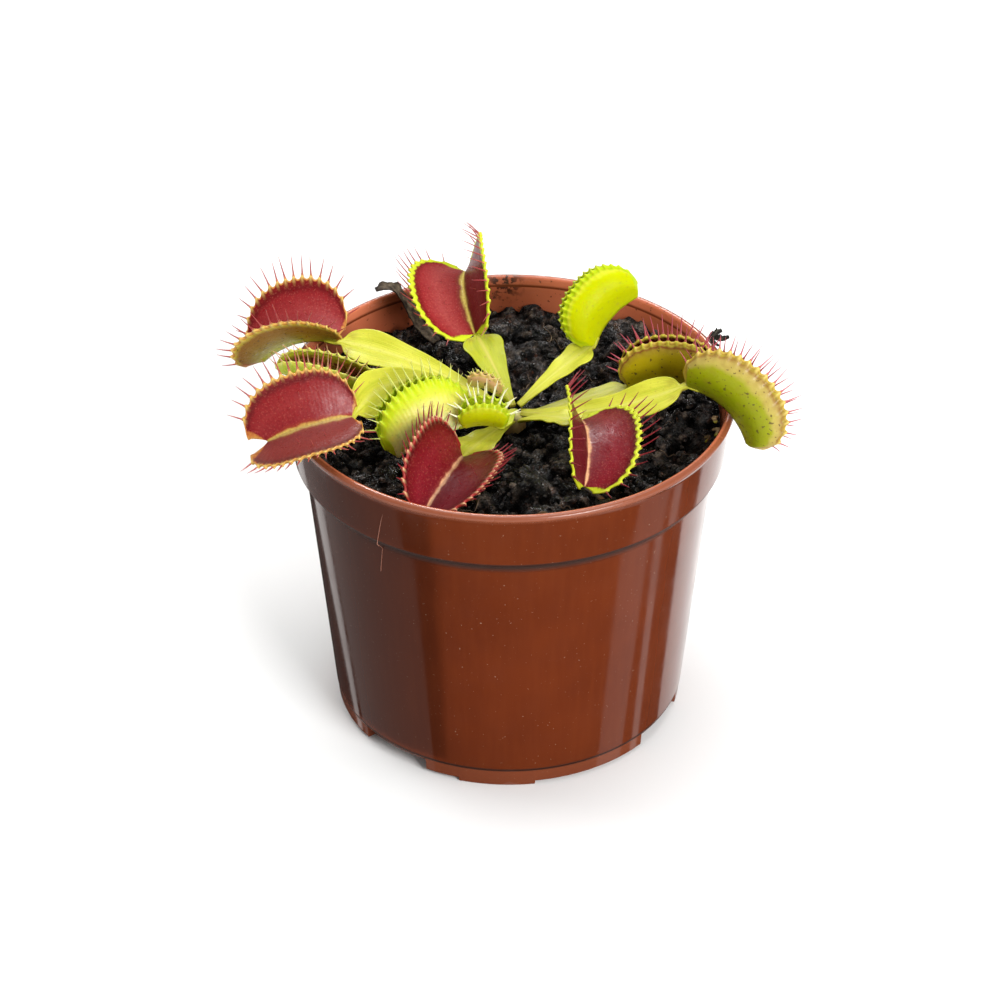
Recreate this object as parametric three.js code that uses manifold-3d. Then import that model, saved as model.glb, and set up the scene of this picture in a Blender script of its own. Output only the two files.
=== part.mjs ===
// A potted Venus flytrap: a tapered nursery pot with a rolled lip and a notched foot, a plug of
// lumpy peat, a short rhizome and a rosette of leaves, each a winged leaf stalk with a
// two-lobed trap, toothed margins and marginal bristles.
// Millimetres, +Z up. The origin is on the pot's axis, in the plane the pot stands on.

import * as THREE from 'three';
import { mergeVertices } from 'three/addons/utils/BufferGeometryUtils.js';
import Module from 'manifold-3d';

const wasm = await Module();
wasm.setup();

// ---------------------------------------------------------------- driving dimensions

const CLEARANCE = 0.3;            // left between pieces that touch

const POT = {
  rimRadius: 45,                  // outside of the rolled lip: a 9 cm pot
  height: 72,
  lipRadius: 0.8,                 // half the thickness of the rolled lip
  collarTopRadius: 44.1,
  collarBottomRadius: 43.1,
  collarHeight: 12.8,
  bodyTopRadius: 41.1,
  bodyBottomRadius: 36,
  footRadius: 35.6,
  footHeight: 4.1,
  wall: 1.1,
  floor: 1.5,
  segments: 60,
};

const FOOT = {
  ringWidth: 1.7,                 // the skirt under the floor
  padLift: 0.8,                   // how far the skirt stops above the three standing pads
  padAzimuths: [-94, 26, 146],
  padSpan: 25,
  notchAzimuths: [-131, -28, 75, 152],
  notchSpan: 26,
  notchHeight: 3.3,
};

const DRAINAGE = { holes: 6, holeRadius: 3.2, circleRadius: 24 };

const SOIL = {
  level: 64,                      // mean height of the peat
  lumpHeight: 1.4,
  hollowDepth: 1.4,
  hollowRadius: 10,
  edgeRise: 1.2,                  // the peat climbs the wall a little all round
  bankRise: 3.4,                  // and more on one side
  bankAzimuth: 38,
  bankSpan: 28,
  rings: 11,
  spokes: 44,
};

const RHIZOME = { x: 1, y: 0.8, radius: 2.5, bottom: 50, top: 66, sides: 12 };

const BLADE = { midrib: 1.3, thickness: 0.7, margin: 0.62 };

const BRISTLE = { width: 0.6 };

// How far a lobe's ends reach past the midrib, as a share of its length.
const OVERHANG = 0.07;

// ---------------------------------------------------------------- leaves
//
// trap.base        where the stalk meets the trap, mm
// trap.heading     compass direction of the midrib from base to tip, degrees from +X
// trap.pitch       its rise above the horizontal, degrees
// trap.roll        turn of the mouth about the midrib, degrees, positive to the left
// trap.length      length of the midrib, mm;   trap.width: midrib to margin, mm
// trap.arch        how far the midrib bends over its length, degrees
// trap.open        angle of each lobe from the mouth's axis at the midrib and at the margin
// trap.teeth       teeth, each with its bristle, on one margin
// trap.right, trap.left  what differs on the lobe to that side, seen from the base with the mouth
//                  up; overhang there is its reach past the midrib's tip, as a share of length
// stalk.turn       compass direction in which the stalk leaves the rhizome
// stalk.rise       height of its root above the soil level
// stalk.bow, sway  how far its middle stands above, and to the left of, a straight line
// stalk.width      greatest width over the wings;  stalk.roll: turn of the blade, degrees
// stalk.taper      how late the wings open out, 1.25 if not given

const LEAVES = [
  {
    name: 'leaf_left_rear', colour: 0xd8dc50,
    stalk: { turn: 144, rise: 1, bow: 2.8, sway: 0, width: 7.6, roll: -34 },
    trap: {
      base: [-34.8, 15, 74], heading: 175, pitch: -20, roll: -6, length: 17.4, width: 14,
      arch: 60, open: [62, 38], teeth: 16, bristle: 5.2, bristleAngle: 32,
      left: { overhang: 0.12 },
    },
  },
  {
    name: 'leaf_left_front', colour: 0xdde050,
    stalk: { turn: 203, rise: 1.6, bow: 5, sway: -6.5, width: 9, roll: -50, taper: 2.3 },
    trap: {
      base: [-30.5, -17.2, 76.4], heading: 190, pitch: -13, roll: 31, length: 17.2, width: 11,
      arch: 44, open: [67, 45], teeth: 16, bristle: 5.4, bristleAngle: 40,
      right: { overhang: 0.2 }, left: { overhang: 0.22 },
    },
  },
  {
    name: 'leaf_left_middle', colour: 0xc8d844,
    stalk: { turn: 186, rise: 0.3, bow: 0, sway: 1, width: 6, roll: 0 },
    trap: {
      base: [-24.2, 0, 67.5], heading: 168, pitch: 15, roll: 20, length: 22, width: 8.4,
      arch: 34, open: [60, -32], teeth: 15, bristle: 4.5, bristleAngle: -10,
    },
  },
  {
    name: 'leaf_centre_green', colour: 0xb8dc28,
    stalk: { turn: 250, rise: 2.1, bow: 0.5, sway: 0, width: 5.5, roll: 0 },
    trap: {
      base: [-7.9, -12.7, 72.3], heading: 207, pitch: -11, roll: -28, length: 16.2, width: 13,
      arch: 25, open: [65, -42], teeth: 15, bristle: 5, bristleAngle: -16,
    },
  },
  {
    name: 'leaf_centre_small', colour: 0xb0d830,
    stalk: { turn: 272, rise: 3.3, bow: 0.5, sway: 0, width: 3.5, roll: 0 },
    trap: {
      base: [-1.5, -16.5, 73.9], heading: 184, pitch: 4, roll: 0, length: 7.6, width: 6,
      arch: 50, open: [60, -30], teeth: 9, bristle: 4.4, bristleAngle: 0,
    },
  },
  {
    name: 'leaf_young', colour: 0xc4cc50,
    stalk: { turn: 160, rise: 4, bow: 0.5, sway: 0, width: 3, roll: 0 },
    trap: {
      base: [-2.2, 0.6, 70.6], heading: 160, pitch: 8, roll: 0, length: 6, width: 3.4,
      arch: 50, open: [60, -50], teeth: 6, bristle: 1.6, bristleAngle: -10,
    },
  },
  {
    name: 'leaf_front_left', colour: 0xd4dc3c,
    stalk: { turn: 256, rise: 0.7, bow: 0.6, sway: 0, width: 8.4, roll: 0 },
    trap: {
      base: [-9.1, -19.6, 68.7], heading: 246, pitch: -6, roll: 20, length: 17, width: 10.8,
      arch: 42, open: [59, 36], teeth: 16, bristle: 4.4, bristleAngle: 30,
      right: { width: 11.5, overhang: 0.13, bristleAngle: 26 },
    },
  },
  {
    name: 'leaf_front_right', colour: 0xc8d038,
    stalk: { turn: 307, rise: 0.6, bow: 1, sway: 0, width: 5.5, roll: 0 },
    trap: {
      base: [14, -10.4, 71], heading: 271, pitch: -9, roll: 23, length: 19.5, width: 10.8,
      arch: 60, open: [57, 37], teeth: 15, bristle: 5.4, bristleAngle: 26,
      right: { open: [54, 31], bristleAngle: -22 },
    },
  },
  {
    name: 'leaf_rear_left', colour: 0xd4e03c,
    stalk: { turn: 104, rise: 2.6, bow: 0.5, sway: 0, width: 8.5, roll: 0 },
    trap: {
      base: [-6.8, 18, 73.7], heading: 96, pitch: 10, roll: 28, length: 20, width: 11.8,
      arch: 62, open: [55, 35], teeth: 16, bristle: 5.4, bristleAngle: 12,
      right: { bristleAngle: -28 },
    },
  },
  {
    name: 'leaf_rear_right', colour: 0xc8e020,
    stalk: { turn: 44, rise: 3, bow: 0.5, sway: 0, width: 7, roll: 0 },
    trap: {
      base: [16.6, 10.8, 75.4], heading: 36, pitch: 36, roll: 37, length: 14.2, width: 10.8,
      arch: 44, open: [58, -39], teeth: 17, bristle: 0.9, bristleAngle: -30,
    },
  },
  {
    name: 'leaf_right_rear', colour: 0xa8a834,
    stalk: { turn: 24, rise: 0.5, bow: 0, sway: 0, width: 5, roll: 0 },
    trap: {
      base: [24, 6, 69], heading: -3, pitch: 0, roll: 3, length: 16, width: 11,
      arch: 41, open: [44, -16], teeth: 15, bristle: 5, bristleAngle: 8,
      left: { open: [40, -38] },
    },
  },
  {
    name: 'leaf_right_front', colour: 0xa8b838,
    stalk: { turn: 3, rise: 1.9, bow: -2.5, sway: 0, width: 7.8, roll: 34 },
    trap: {
      base: [34.9, -6.8, 77.4], heading: -26, pitch: -37, roll: 14, length: 18, width: 13.6,
      arch: 64, open: [64, -36], teeth: 16, bristle: 5.6, bristleAngle: -36,
      left: { width: 11.6, open: [62, -58], bristleAngle: 4 },
    },
  },
];

// ---------------------------------------------------------------- pieces lying about
//
// Each blade runs through its points, mm, with its width at each of them.

const FALLEN = [
  {
    name: 'dry_leaf', colour: 0x5c5040, rib: 0.45, onPeat: true,
    blades: [{
      points: [
        [-15, 29.5, 64.6], [-18.4, 33, 66.4], [-20.8, 34.9, 69.6], [-23.2, 35.4, 73],
        [-25.3, 35, 74.4], [-27.4, 34.2, 74.2],
      ],
      widths: [2.4, 3, 3.4, 4.8, 3.2, 1.4], fold: 16, roll: 0,
    }],
  },
  {
    name: 'rim_scrap', colour: 0x2a2622, rib: 0.4, onPeat: false,
    blades: [
      { points: [[40.4, 17.5, 73], [41.6, 17.2, 73.8], [42.8, 16.8, 75.2]], widths: [1.6, 3, 1], fold: 20, roll: 0 },
      { points: [[41.4, 17.2, 73.5], [43, 16.6, 73.4], [44.3, 16.1, 74.1]], widths: [1.4, 1.5, 0.7], fold: 10, roll: 20 },
    ],
  },
  {
    name: 'twig', colour: 0x5a5248, rib: 0.42, onPeat: true,
    blades: [
      { points: [[13.2, -24, 65.4], [15.6, -26.6, 65.5], [18.1, -29.4, 65.4]], widths: [0.7, 0.9, 0.8], fold: 0, roll: 0 },
      { points: [[15.6, -26.6, 65.5], [15.1, -24.8, 65.9], [14.9, -23.6, 66]], widths: [0.8, 0.7, 0.6], fold: 0, roll: 0 },
    ],
  },
];

// ---------------------------------------------------------------- small tools

const radians = THREE.MathUtils.degToRad;
const UP = new THREE.Vector3(0, 0, 1);

function polar(radius, degrees, z) {
  const angle = radians(degrees);
  return new THREE.Vector3(radius * Math.cos(angle), radius * Math.sin(angle), z);
}

// Adds weighted directions to a point: along(p, [a, u], [b, v]) = p + a u + b v.
function along(point, ...steps) {
  const result = point.clone();
  for (const [amount, direction] of steps) result.addScaledVector(direction, amount);
  return result;
}

function toSolid(geometry) {
  const bare = geometry.clone();
  bare.deleteAttribute('normal');
  bare.deleteAttribute('uv');
  const merged = mergeVertices(bare, 1e-4);
  return new wasm.Manifold(new wasm.Mesh({
    numProp: 3,
    vertProperties: new Float32Array(merged.attributes.position.array),
    triVerts: new Uint32Array(merged.index.array),
  }));
}

function toGeometry(solid) {
  const mesh = solid.getMesh();
  const points = new Float32Array(mesh.numVert * 3);
  for (let i = 0; i < mesh.numVert; i += 1) {
    for (let k = 0; k < 3; k += 1) points[3 * i + k] = mesh.vertProperties[mesh.numProp * i + k];
  }
  const geometry = new THREE.BufferGeometry();
  geometry.setAttribute('position', new THREE.BufferAttribute(points, 3));
  geometry.setIndex(new THREE.BufferAttribute(new Uint32Array(mesh.triVerts), 1));
  return geometry;
}

// Collects points and faces of one closed surface.
class Surface {
  constructor() {
    this.points = [];
    this.faces = [];
  }

  add(point) {
    this.points.push(point);
    return this.points.length - 1;
  }

  triangle(a, b, c, flip = false) {
    this.faces.push(...(flip ? [a, c, b] : [a, b, c]));
  }

  quad(a, b, c, d, flip = false) {
    this.triangle(a, b, c, flip);
    this.triangle(a, c, d, flip);
  }

  geometry() {
    const geometry = new THREE.BufferGeometry().setFromPoints(this.points);
    geometry.setIndex(this.faces);
    return geometry;
  }
}

function seededRandom(seed) {
  let state = seed >>> 0;
  return () => {
    state = (Math.imul(state, 1664525) + 1013904223) >>> 0;
    return state / 4294967296;
  };
}

// ---------------------------------------------------------------- pot

function lathe(profile, segments) {
  const points = profile.map(([radius, z]) => new THREE.Vector2(radius, z));
  return new THREE.LatheGeometry(points, segments).rotateX(Math.PI / 2);
}

// A sector of a thick ring, centred on one azimuth, standing on z = bottom.
function ringSector(inner, outer, azimuth, span, bottom, height) {
  const start = radians(azimuth - span / 2);
  const end = radians(azimuth + span / 2);
  const shape = new THREE.Shape();
  shape.absarc(0, 0, outer, start, end, false);
  shape.absarc(0, 0, inner, end, start, true);
  shape.closePath();
  return new THREE.ExtrudeGeometry(shape, { depth: height, bevelEnabled: false, curveSegments: 6 })
    .translate(0, 0, bottom);
}

function potGeometry() {
  const shoulder = POT.height - POT.collarHeight;
  const lipZ = POT.height - POT.lipRadius;
  const lipCentre = POT.rimRadius - POT.lipRadius;
  const floorTop = POT.footHeight + POT.floor;
  const lip = [];
  for (const turn of [-60, -20, 20, 60, 90, 120, 160]) {
    lip.push([
      lipCentre + POT.lipRadius * Math.cos(radians(turn)),
      lipZ + POT.lipRadius * Math.sin(radians(turn)),
    ]);
  }
  const outside = [
    [POT.footRadius, 0],
    [POT.footRadius + 0.2, POT.footHeight - 0.3],
    [POT.bodyBottomRadius, POT.footHeight],
    [POT.bodyTopRadius, shoulder - 0.8],
    [POT.collarBottomRadius - 0.5, shoulder - 0.3],
    [POT.collarBottomRadius, shoulder + 0.3],
    [POT.collarTopRadius, POT.height - 2.4],
  ];
  const inside = [
    [POT.collarTopRadius - POT.wall, POT.height - 2.4],
    [POT.collarBottomRadius - POT.wall, shoulder + 0.6],
    [POT.bodyTopRadius - POT.wall, shoulder - 0.8],
    [POT.bodyBottomRadius - POT.wall, floorTop],
    [0, floorTop],
    [0, POT.footHeight - 0.3],
    [POT.footRadius - FOOT.ringWidth, POT.footHeight - 0.3],
    [POT.footRadius - FOOT.ringWidth, 0],
    [POT.footRadius, 0],
  ];
  let pot = toSolid(lathe([...outside, ...lip, ...inside], POT.segments));

  const ringInner = POT.footRadius - FOOT.ringWidth - 1;
  const ringOuter = POT.footRadius + 1;
  const cut = (azimuth, span, top) => {
    pot = pot.subtract(toSolid(ringSector(ringInner, ringOuter, azimuth, span, -1, top + 1)));
  };
  FOOT.notchAzimuths.forEach((azimuth) => cut(azimuth, FOOT.notchSpan, FOOT.notchHeight));
  const pads = FOOT.padAzimuths;
  pads.forEach((azimuth, index) => {
    const next = pads[(index + 1) % pads.length] + (index + 1 === pads.length ? 360 : 0);
    cut((azimuth + next) / 2, next - azimuth - FOOT.padSpan, FOOT.padLift);
  });
  for (let i = 0; i < DRAINAGE.holes; i += 1) {
    const centre = polar(DRAINAGE.circleRadius, (360 * i) / DRAINAGE.holes, floorTop - POT.floor);
    const drill = new THREE.CylinderGeometry(DRAINAGE.holeRadius, DRAINAGE.holeRadius, 8, 12)
      .rotateX(Math.PI / 2).translate(centre.x, centre.y, centre.z);
    pot = pot.subtract(toSolid(drill));
  }
  return toGeometry(pot);
}

// ---------------------------------------------------------------- peat

function innerRadius(z) {
  const shoulder = POT.height - POT.collarHeight;
  const floorTop = POT.footHeight + POT.floor;
  if (z > shoulder) {
    const share = (z - shoulder) / POT.collarHeight;
    return THREE.MathUtils.lerp(POT.collarBottomRadius, POT.collarTopRadius, share) - POT.wall;
  }
  const share = (z - floorTop) / (shoulder - floorTop);
  return THREE.MathUtils.lerp(POT.bodyBottomRadius, POT.bodyTopRadius, share) - POT.wall;
}

// Height of the peat: a slow swell, crumbs, a shallow hollow round the crown, a raised edge and
// a bank against one side of the pot.
function soilHeight(x, y, crumb) {
  const swell = 0.5 * Math.sin(0.16 * x + 1.1) + 0.5 * Math.cos(0.19 * y - 0.4);
  const lumps = Math.sin(0.55 * x + 1.7 * Math.sin(0.33 * y)) * Math.cos(0.5 * y + 0.9);
  const crown = Math.hypot(x - RHIZOME.x, y - RHIZOME.y) / SOIL.hollowRadius;
  const hollow = SOIL.hollowDepth * Math.exp(-crown * crown);
  const outward = Math.hypot(x, y) / innerRadius(SOIL.level);
  const round = radians(SOIL.bankAzimuth) - Math.atan2(y, x);
  const turned = Math.atan2(Math.sin(round), Math.cos(round)) / radians(SOIL.bankSpan);
  const bank = SOIL.bankRise * Math.exp(-turned * turned) * outward ** 4;
  const edge = SOIL.edgeRise * outward ** 3;
  const crumbs = SOIL.lumpHeight * (0.45 * lumps + 0.55 * (crumb - 0.5));
  return SOIL.level + swell - hollow + edge + bank + crumbs;
}

function soilSolid() {
  const random = seededRandom(11);
  const surface = new Surface();
  const bottomZ = POT.footHeight + POT.floor + CLEARANCE;
  const shoulderZ = POT.height - POT.collarHeight - 1;
  const edgeRadius = innerRadius(shoulderZ) - CLEARANCE;
  const rings = [];
  for (let r = 1; r <= SOIL.rings; r += 1) {
    const radius = (innerRadius(SOIL.level) - 2 * CLEARANCE) * Math.pow(r / SOIL.rings, 0.9);
    const ring = [];
    for (let s = 0; s < SOIL.spokes; s += 1) {
      const azimuth = (360 * (s + 0.5 * (r % 2))) / SOIL.spokes;
      const flat = polar(radius, azimuth, 0);
      const z = soilHeight(flat.x, flat.y, random());
      const reach = r === SOIL.rings ? innerRadius(z) - 2 * CLEARANCE : radius;
      ring.push(surface.add(polar(reach, azimuth, z)));
    }
    rings.push(ring);
  }
  const skirt = [[edgeRadius, shoulderZ], [innerRadius(bottomZ) - CLEARANCE, bottomZ]];
  for (const [radius, z] of skirt) {
    rings.push(Array.from({ length: SOIL.spokes }, (_, s) => (
      surface.add(polar(radius, (360 * (s + 0.5)) / SOIL.spokes, z))
    )));
  }
  const top = surface.add(new THREE.Vector3(0, 0, SOIL.level));
  const base = surface.add(new THREE.Vector3(0, 0, bottomZ));
  for (let s = 0; s < SOIL.spokes; s += 1) {
    const t = (s + 1) % SOIL.spokes;
    surface.triangle(top, rings[0][s], rings[0][t]);
    surface.triangle(base, rings.at(-1)[t], rings.at(-1)[s]);
    for (let r = 0; r + 1 < rings.length; r += 1) {
      const shifted = r + 1 < SOIL.rings && (r + 1) % 2 === 0;
      const [a, b, c, d] = [rings[r][s], rings[r][t], rings[r + 1][s], rings[r + 1][t]];
      if (shifted) {
        surface.triangle(a, c, b);
        surface.triangle(b, c, d);
      } else {
        surface.triangle(a, c, d);
        surface.triangle(a, d, b);
      }
    }
  }
  const hole = new THREE.CylinderGeometry(
    RHIZOME.radius + CLEARANCE, RHIZOME.radius + CLEARANCE, 40, RHIZOME.sides,
  ).rotateX(Math.PI / 2).translate(RHIZOME.x, RHIZOME.y, RHIZOME.bottom - CLEARANCE + 20);
  return toSolid(surface.geometry()).subtract(toSolid(hole));
}

// ---------------------------------------------------------------- rhizome

function rhizomeGeometry() {
  const { radius, bottom, top } = RHIZOME;
  const profile = [
    [0, bottom], [radius * 0.5, bottom + 0.6], [radius * 0.85, bottom + 3],
    [radius * 0.97, bottom + 8], [radius * 0.97, top - 2.4], [radius * 0.8, top - 0.8],
    [radius * 0.4, top], [0, top],
  ];
  return lathe(profile, RHIZOME.sides).translate(RHIZOME.x, RHIZOME.y, 0);
}

// ---------------------------------------------------------------- trap

// Places and directions along the arched midrib, u = 0 at the stalk and 1 at the tip.
function midribFrame(trap, u) {
  const heading = radians(trap.heading);
  const pitch = radians(trap.pitch);
  const chord = new THREE.Vector3(
    Math.cos(pitch) * Math.cos(heading), Math.cos(pitch) * Math.sin(heading), Math.sin(pitch),
  );
  const left = new THREE.Vector3().crossVectors(UP, chord).normalize();
  const level = new THREE.Vector3().crossVectors(chord, left);
  const roll = radians(trap.roll);
  const mouth = level.multiplyScalar(Math.cos(roll)).addScaledVector(left, Math.sin(roll));
  const total = radians(trap.arch);
  const bend = total * (u - 0.5);
  const radius = trap.length / total;
  const base = new THREE.Vector3(...trap.base);
  const place = along(
    base,
    [radius * (Math.sin(bend) + Math.sin(total / 2)), chord],
    [radius * (Math.cos(bend) - Math.cos(total / 2)), mouth],
  );
  const tangent = along(new THREE.Vector3(), [Math.cos(bend), chord], [-Math.sin(bend), mouth]);
  const normal = along(new THREE.Vector3(), [Math.cos(bend), mouth], [Math.sin(bend), chord]);
  const across = new THREE.Vector3().crossVectors(tangent, normal);
  return { place, tangent, normal, across };
}

// The measures of one lobe: those of the trap with what differs on that side.
function lobeOf(trap, side) {
  return { ...trap, ...(side > 0 ? trap.right : trap.left) };
}

// Share of the full lobe width at u: a rounded kidney, blunt where it leaves the midrib.
function lobeOutline(u) {
  return 0.22 + 0.78 * Math.pow(1 - Math.pow(Math.abs(2 * u - 1), 2.6), 0.6);
}

// A point of one lobe. v = 0 on the midrib and 1 on the margin; side is 1 or -1.
// The lobe leaves the midrib at open[0] from the mouth's axis and turns to open[1].
function lobePoint(trap, side, u, v, reach = 0) {
  const lobe = lobeOf(trap, side);
  const frame = midribFrame(trap, u);
  const first = radians(lobe.open[0]);
  const turn = radians(lobe.open[1]) - first;
  const angle = first + turn * v;
  const width = lobe.width * lobeOutline(u) + reach;
  const rise = (width * (Math.sin(angle) - Math.sin(first))) / turn;
  const spread = (width * (Math.cos(first) - Math.cos(angle))) / turn;
  const overhang = u > 0.5 ? lobe.overhang ?? OVERHANG : OVERHANG;
  const flare = overhang * trap.length * (2 * u - 1) * Math.pow(v, 1.4);
  const place = along(
    frame.place, [rise, frame.normal], [side * spread, frame.across], [flare, frame.tangent],
  );
  const inward = along(
    new THREE.Vector3(), [Math.sin(angle), frame.normal], [-side * Math.cos(angle), frame.across],
  );
  if (v === 0) inward.copy(frame.normal);
  return { place, inward, frame };
}

function bristleTip(trap, side, u) {
  const { place, frame } = lobePoint(trap, side, u, 1);
  const lean = radians(lobeOf(trap, side).bristleAngle);
  const fan = 0.9 * Math.pow(2 * u - 1, 3) + 0.25 * (2 * u - 1);
  const direction = along(
    new THREE.Vector3(),
    [Math.cos(lean), frame.normal], [side * Math.sin(lean), frame.across], [fan, frame.tangent],
  ).normalize();
  const length = trap.bristle * (0.8 + 0.2 * Math.cos(Math.PI * (2 * u - 1)));
  return along(place, [length, direction]);
}

// The two lobes as one folded blade with a closed edge. Each margin tooth is a valley and a
// short flat peak, and every peak carries a four-sided bristle.
function trapGeometry(trap) {
  const surface = new Surface();
  const rows = trap.open[1] < 0 ? [0, 0.36, 0.7] : [0, 0.5];
  const count = trap.teeth;
  const tooth = 0.3 + 0.012 * trap.width;
  const addPair = (side, u, v, reach) => {
    const { place, inward } = lobePoint(trap, side, u, v, reach);
    const thickness = v === 0 ? BLADE.midrib : THREE.MathUtils.lerp(BLADE.thickness, BLADE.margin, v);
    const under = v === 0 ? 0.7 * thickness : 0.5 * thickness;
    return {
      top: surface.add(along(place, [thickness - under, inward])),
      under: surface.add(along(place, [-under, inward])),
    };
  };
  const midrib = Array.from({ length: count + 1 }, (_, i) => addPair(1, i / count, 0, 0));

  for (const side of [1, -1]) {
    const levels = [midrib];
    for (const v of rows.slice(1)) {
      levels.push(Array.from({ length: count + 1 }, (_, i) => addPair(side, i / count, v, 0)));
    }
    // The margins' teeth alternate, so the bristles of a closed trap pass each other.
    const offset = side > 0 ? 0.3 : 0.7;
    const half = Math.min(0.22, (0.5 * BRISTLE.width * count) / trap.length / 1.3);
    const edge = [];
    for (let i = 0; i < count; i += 1) {
      edge.push(addPair(side, i / count, 1, -tooth));
      edge.push(addPair(side, (i + offset - half) / count, 1, tooth));
      edge.push(addPair(side, (i + offset + half) / count, 1, tooth));
    }
    edge.push(addPair(side, 1, 1, -tooth));

    const outward = side > 0;
    for (const face of ['top', 'under']) {
      const flip = (face === 'top') === outward;
      for (let row = 0; row + 1 < levels.length; row += 1) {
        const [near, far] = [levels[row], levels[row + 1]];
        for (let i = 0; i < count; i += 1) {
          surface.quad(near[i][face], near[i + 1][face], far[i + 1][face], far[i][face], flip);
        }
      }
      const last = levels.at(-1);
      for (let i = 0; i < count; i += 1) {
        const [a, b] = [last[i][face], last[i + 1][face]];
        const [p, q, r, s] = [0, 1, 2, 3].map((k) => edge[3 * i + k][face]);
        surface.triangle(a, q, p, flip);
        surface.triangle(a, b, q, flip);
        surface.triangle(b, r, q, flip);
        surface.triangle(b, s, r, flip);
      }
    }
    for (let k = 0; k + 1 < edge.length; k += 1) {
      const [a, b] = [edge[k], edge[k + 1]];
      if (k % 3 === 1) {
        const u = (Math.floor(k / 3) + offset) / count;
        const tip = surface.add(bristleTip(trap, side, u));
        surface.triangle(a.under, b.under, tip, !outward);
        surface.triangle(b.under, b.top, tip, !outward);
        surface.triangle(b.top, a.top, tip, !outward);
        surface.triangle(a.top, a.under, tip, !outward);
      } else {
        surface.quad(a.under, b.under, b.top, a.top, !outward);
      }
    }
    for (const [index, edgeIndex, flip] of [[0, 0, !outward], [count, edge.length - 1, outward]]) {
      const line = [...levels.map((level) => level[index]), edge[edgeIndex]];
      for (let k = 0; k + 1 < line.length; k += 1) {
        surface.quad(line[k].top, line[k].under, line[k + 1].under, line[k + 1].top, flip);
      }
    }
  }
  return surface.geometry();
}

// ---------------------------------------------------------------- leaf stalk

// Width of the stalk at s: narrow at the root, winged, and drawn in to a neck at the trap.
function stalkWidth(stalk, s) {
  const root = 1.4;
  const neck = 1.5;
  const wing = root + (stalk.width - root) * Math.pow(Math.min(s / 0.78, 1), stalk.taper ?? 1.25);
  const shoulder = Math.sqrt(Math.max(0, 1 - Math.pow(Math.max(0, (s - 0.8) / 0.16), 2.4)));
  return Math.max(neck, wing * shoulder);
}

// A blade folded along a middle rib, swept through stations that each give a place, a tangent,
// a width and a fold in degrees. rim and rib are half thicknesses, roll turns the blade over.
function sweptBlade(stations, rollDegrees, rim, rib) {
  const surface = new Surface();
  const roll = radians(rollDegrees);
  const sections = stations.map(({ place, tangent, width, fold }) => {
    const side = new THREE.Vector3().crossVectors(UP, tangent).normalize();
    const face = new THREE.Vector3().crossVectors(tangent, side);
    const across = along(new THREE.Vector3(), [Math.cos(roll), side], [Math.sin(roll), face]);
    const out = new THREE.Vector3().crossVectors(tangent, across);
    const lift = 0.5 * width * Math.tan(radians(fold));
    return [
      [0.5 * width, lift + rim], [0, rib], [-0.5 * width, lift + rim],
      [-0.5 * width, lift - rim], [0, -rib], [0.5 * width, lift - rim],
    ].map(([sideways, up]) => surface.add(along(place, [sideways, across], [up, out])));
  });
  for (let k = 0; k + 1 < sections.length; k += 1) {
    const [near, far] = [sections[k], sections[k + 1]];
    for (let i = 0; i < 6; i += 1) {
      const j = (i + 1) % 6;
      surface.quad(near[i], near[j], far[j], far[i]);
    }
  }
  for (const [ring, flip] of [[sections[0], true], [sections.at(-1), false]]) {
    surface.quad(ring[0], ring[1], ring[4], ring[5], flip);
    surface.quad(ring[1], ring[2], ring[3], ring[4], flip);
  }
  return surface.geometry();
}

function stalkGeometry(leaf) {
  const { stalk, trap } = leaf;
  const foot = polar(RHIZOME.radius - 1.2, stalk.turn, SOIL.level + stalk.rise)
    .add(new THREE.Vector3(RHIZOME.x, RHIZOME.y, 0));
  const start = midribFrame(trap, 0);
  const end = along(start.place, [-0.15 * BLADE.midrib, start.normal]);
  const inside = midribFrame(trap, 0.14);
  const finish = along(inside.place, [-0.15 * BLADE.midrib, inside.normal]);
  const middle = foot.clone().lerp(end, 0.5);
  const heading = end.clone().sub(foot).normalize();
  const left = new THREE.Vector3().crossVectors(UP, heading).normalize();
  middle.addScaledVector(UP, stalk.bow).addScaledVector(left, stalk.sway);
  const control = middle.multiplyScalar(2).addScaledVector(foot, -0.5).addScaledVector(end, -0.5);
  const path = new THREE.QuadraticBezierCurve3(foot, control, end);

  const stations = [0, 0.12, 0.26, 0.42, 0.58, 0.72, 0.82, 0.9, 0.95, 0.975, 1].map((s) => ({
    place: path.getPoint(s), tangent: path.getTangent(s), width: stalkWidth(stalk, s), fold: 12,
  }));
  stations.push({ place: finish, tangent: inside.tangent, width: 1.1, fold: 0 });
  return sweptBlade(stations, stalk.roll, 0.32, 0.62);
}

function leafGeometry(leaf) {
  const blade = toSolid(trapGeometry(leaf.trap));
  const stalk = toSolid(stalkGeometry(leaf));
  const keepOut = new THREE.CylinderGeometry(
    RHIZOME.radius + CLEARANCE, RHIZOME.radius + CLEARANCE, 40, RHIZOME.sides,
  ).rotateX(Math.PI / 2).translate(RHIZOME.x, RHIZOME.y, RHIZOME.top + CLEARANCE - 20);
  return toGeometry(blade.add(stalk).subtract(toSolid(keepOut)));
}

// ---------------------------------------------------------------- fallen pieces

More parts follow.
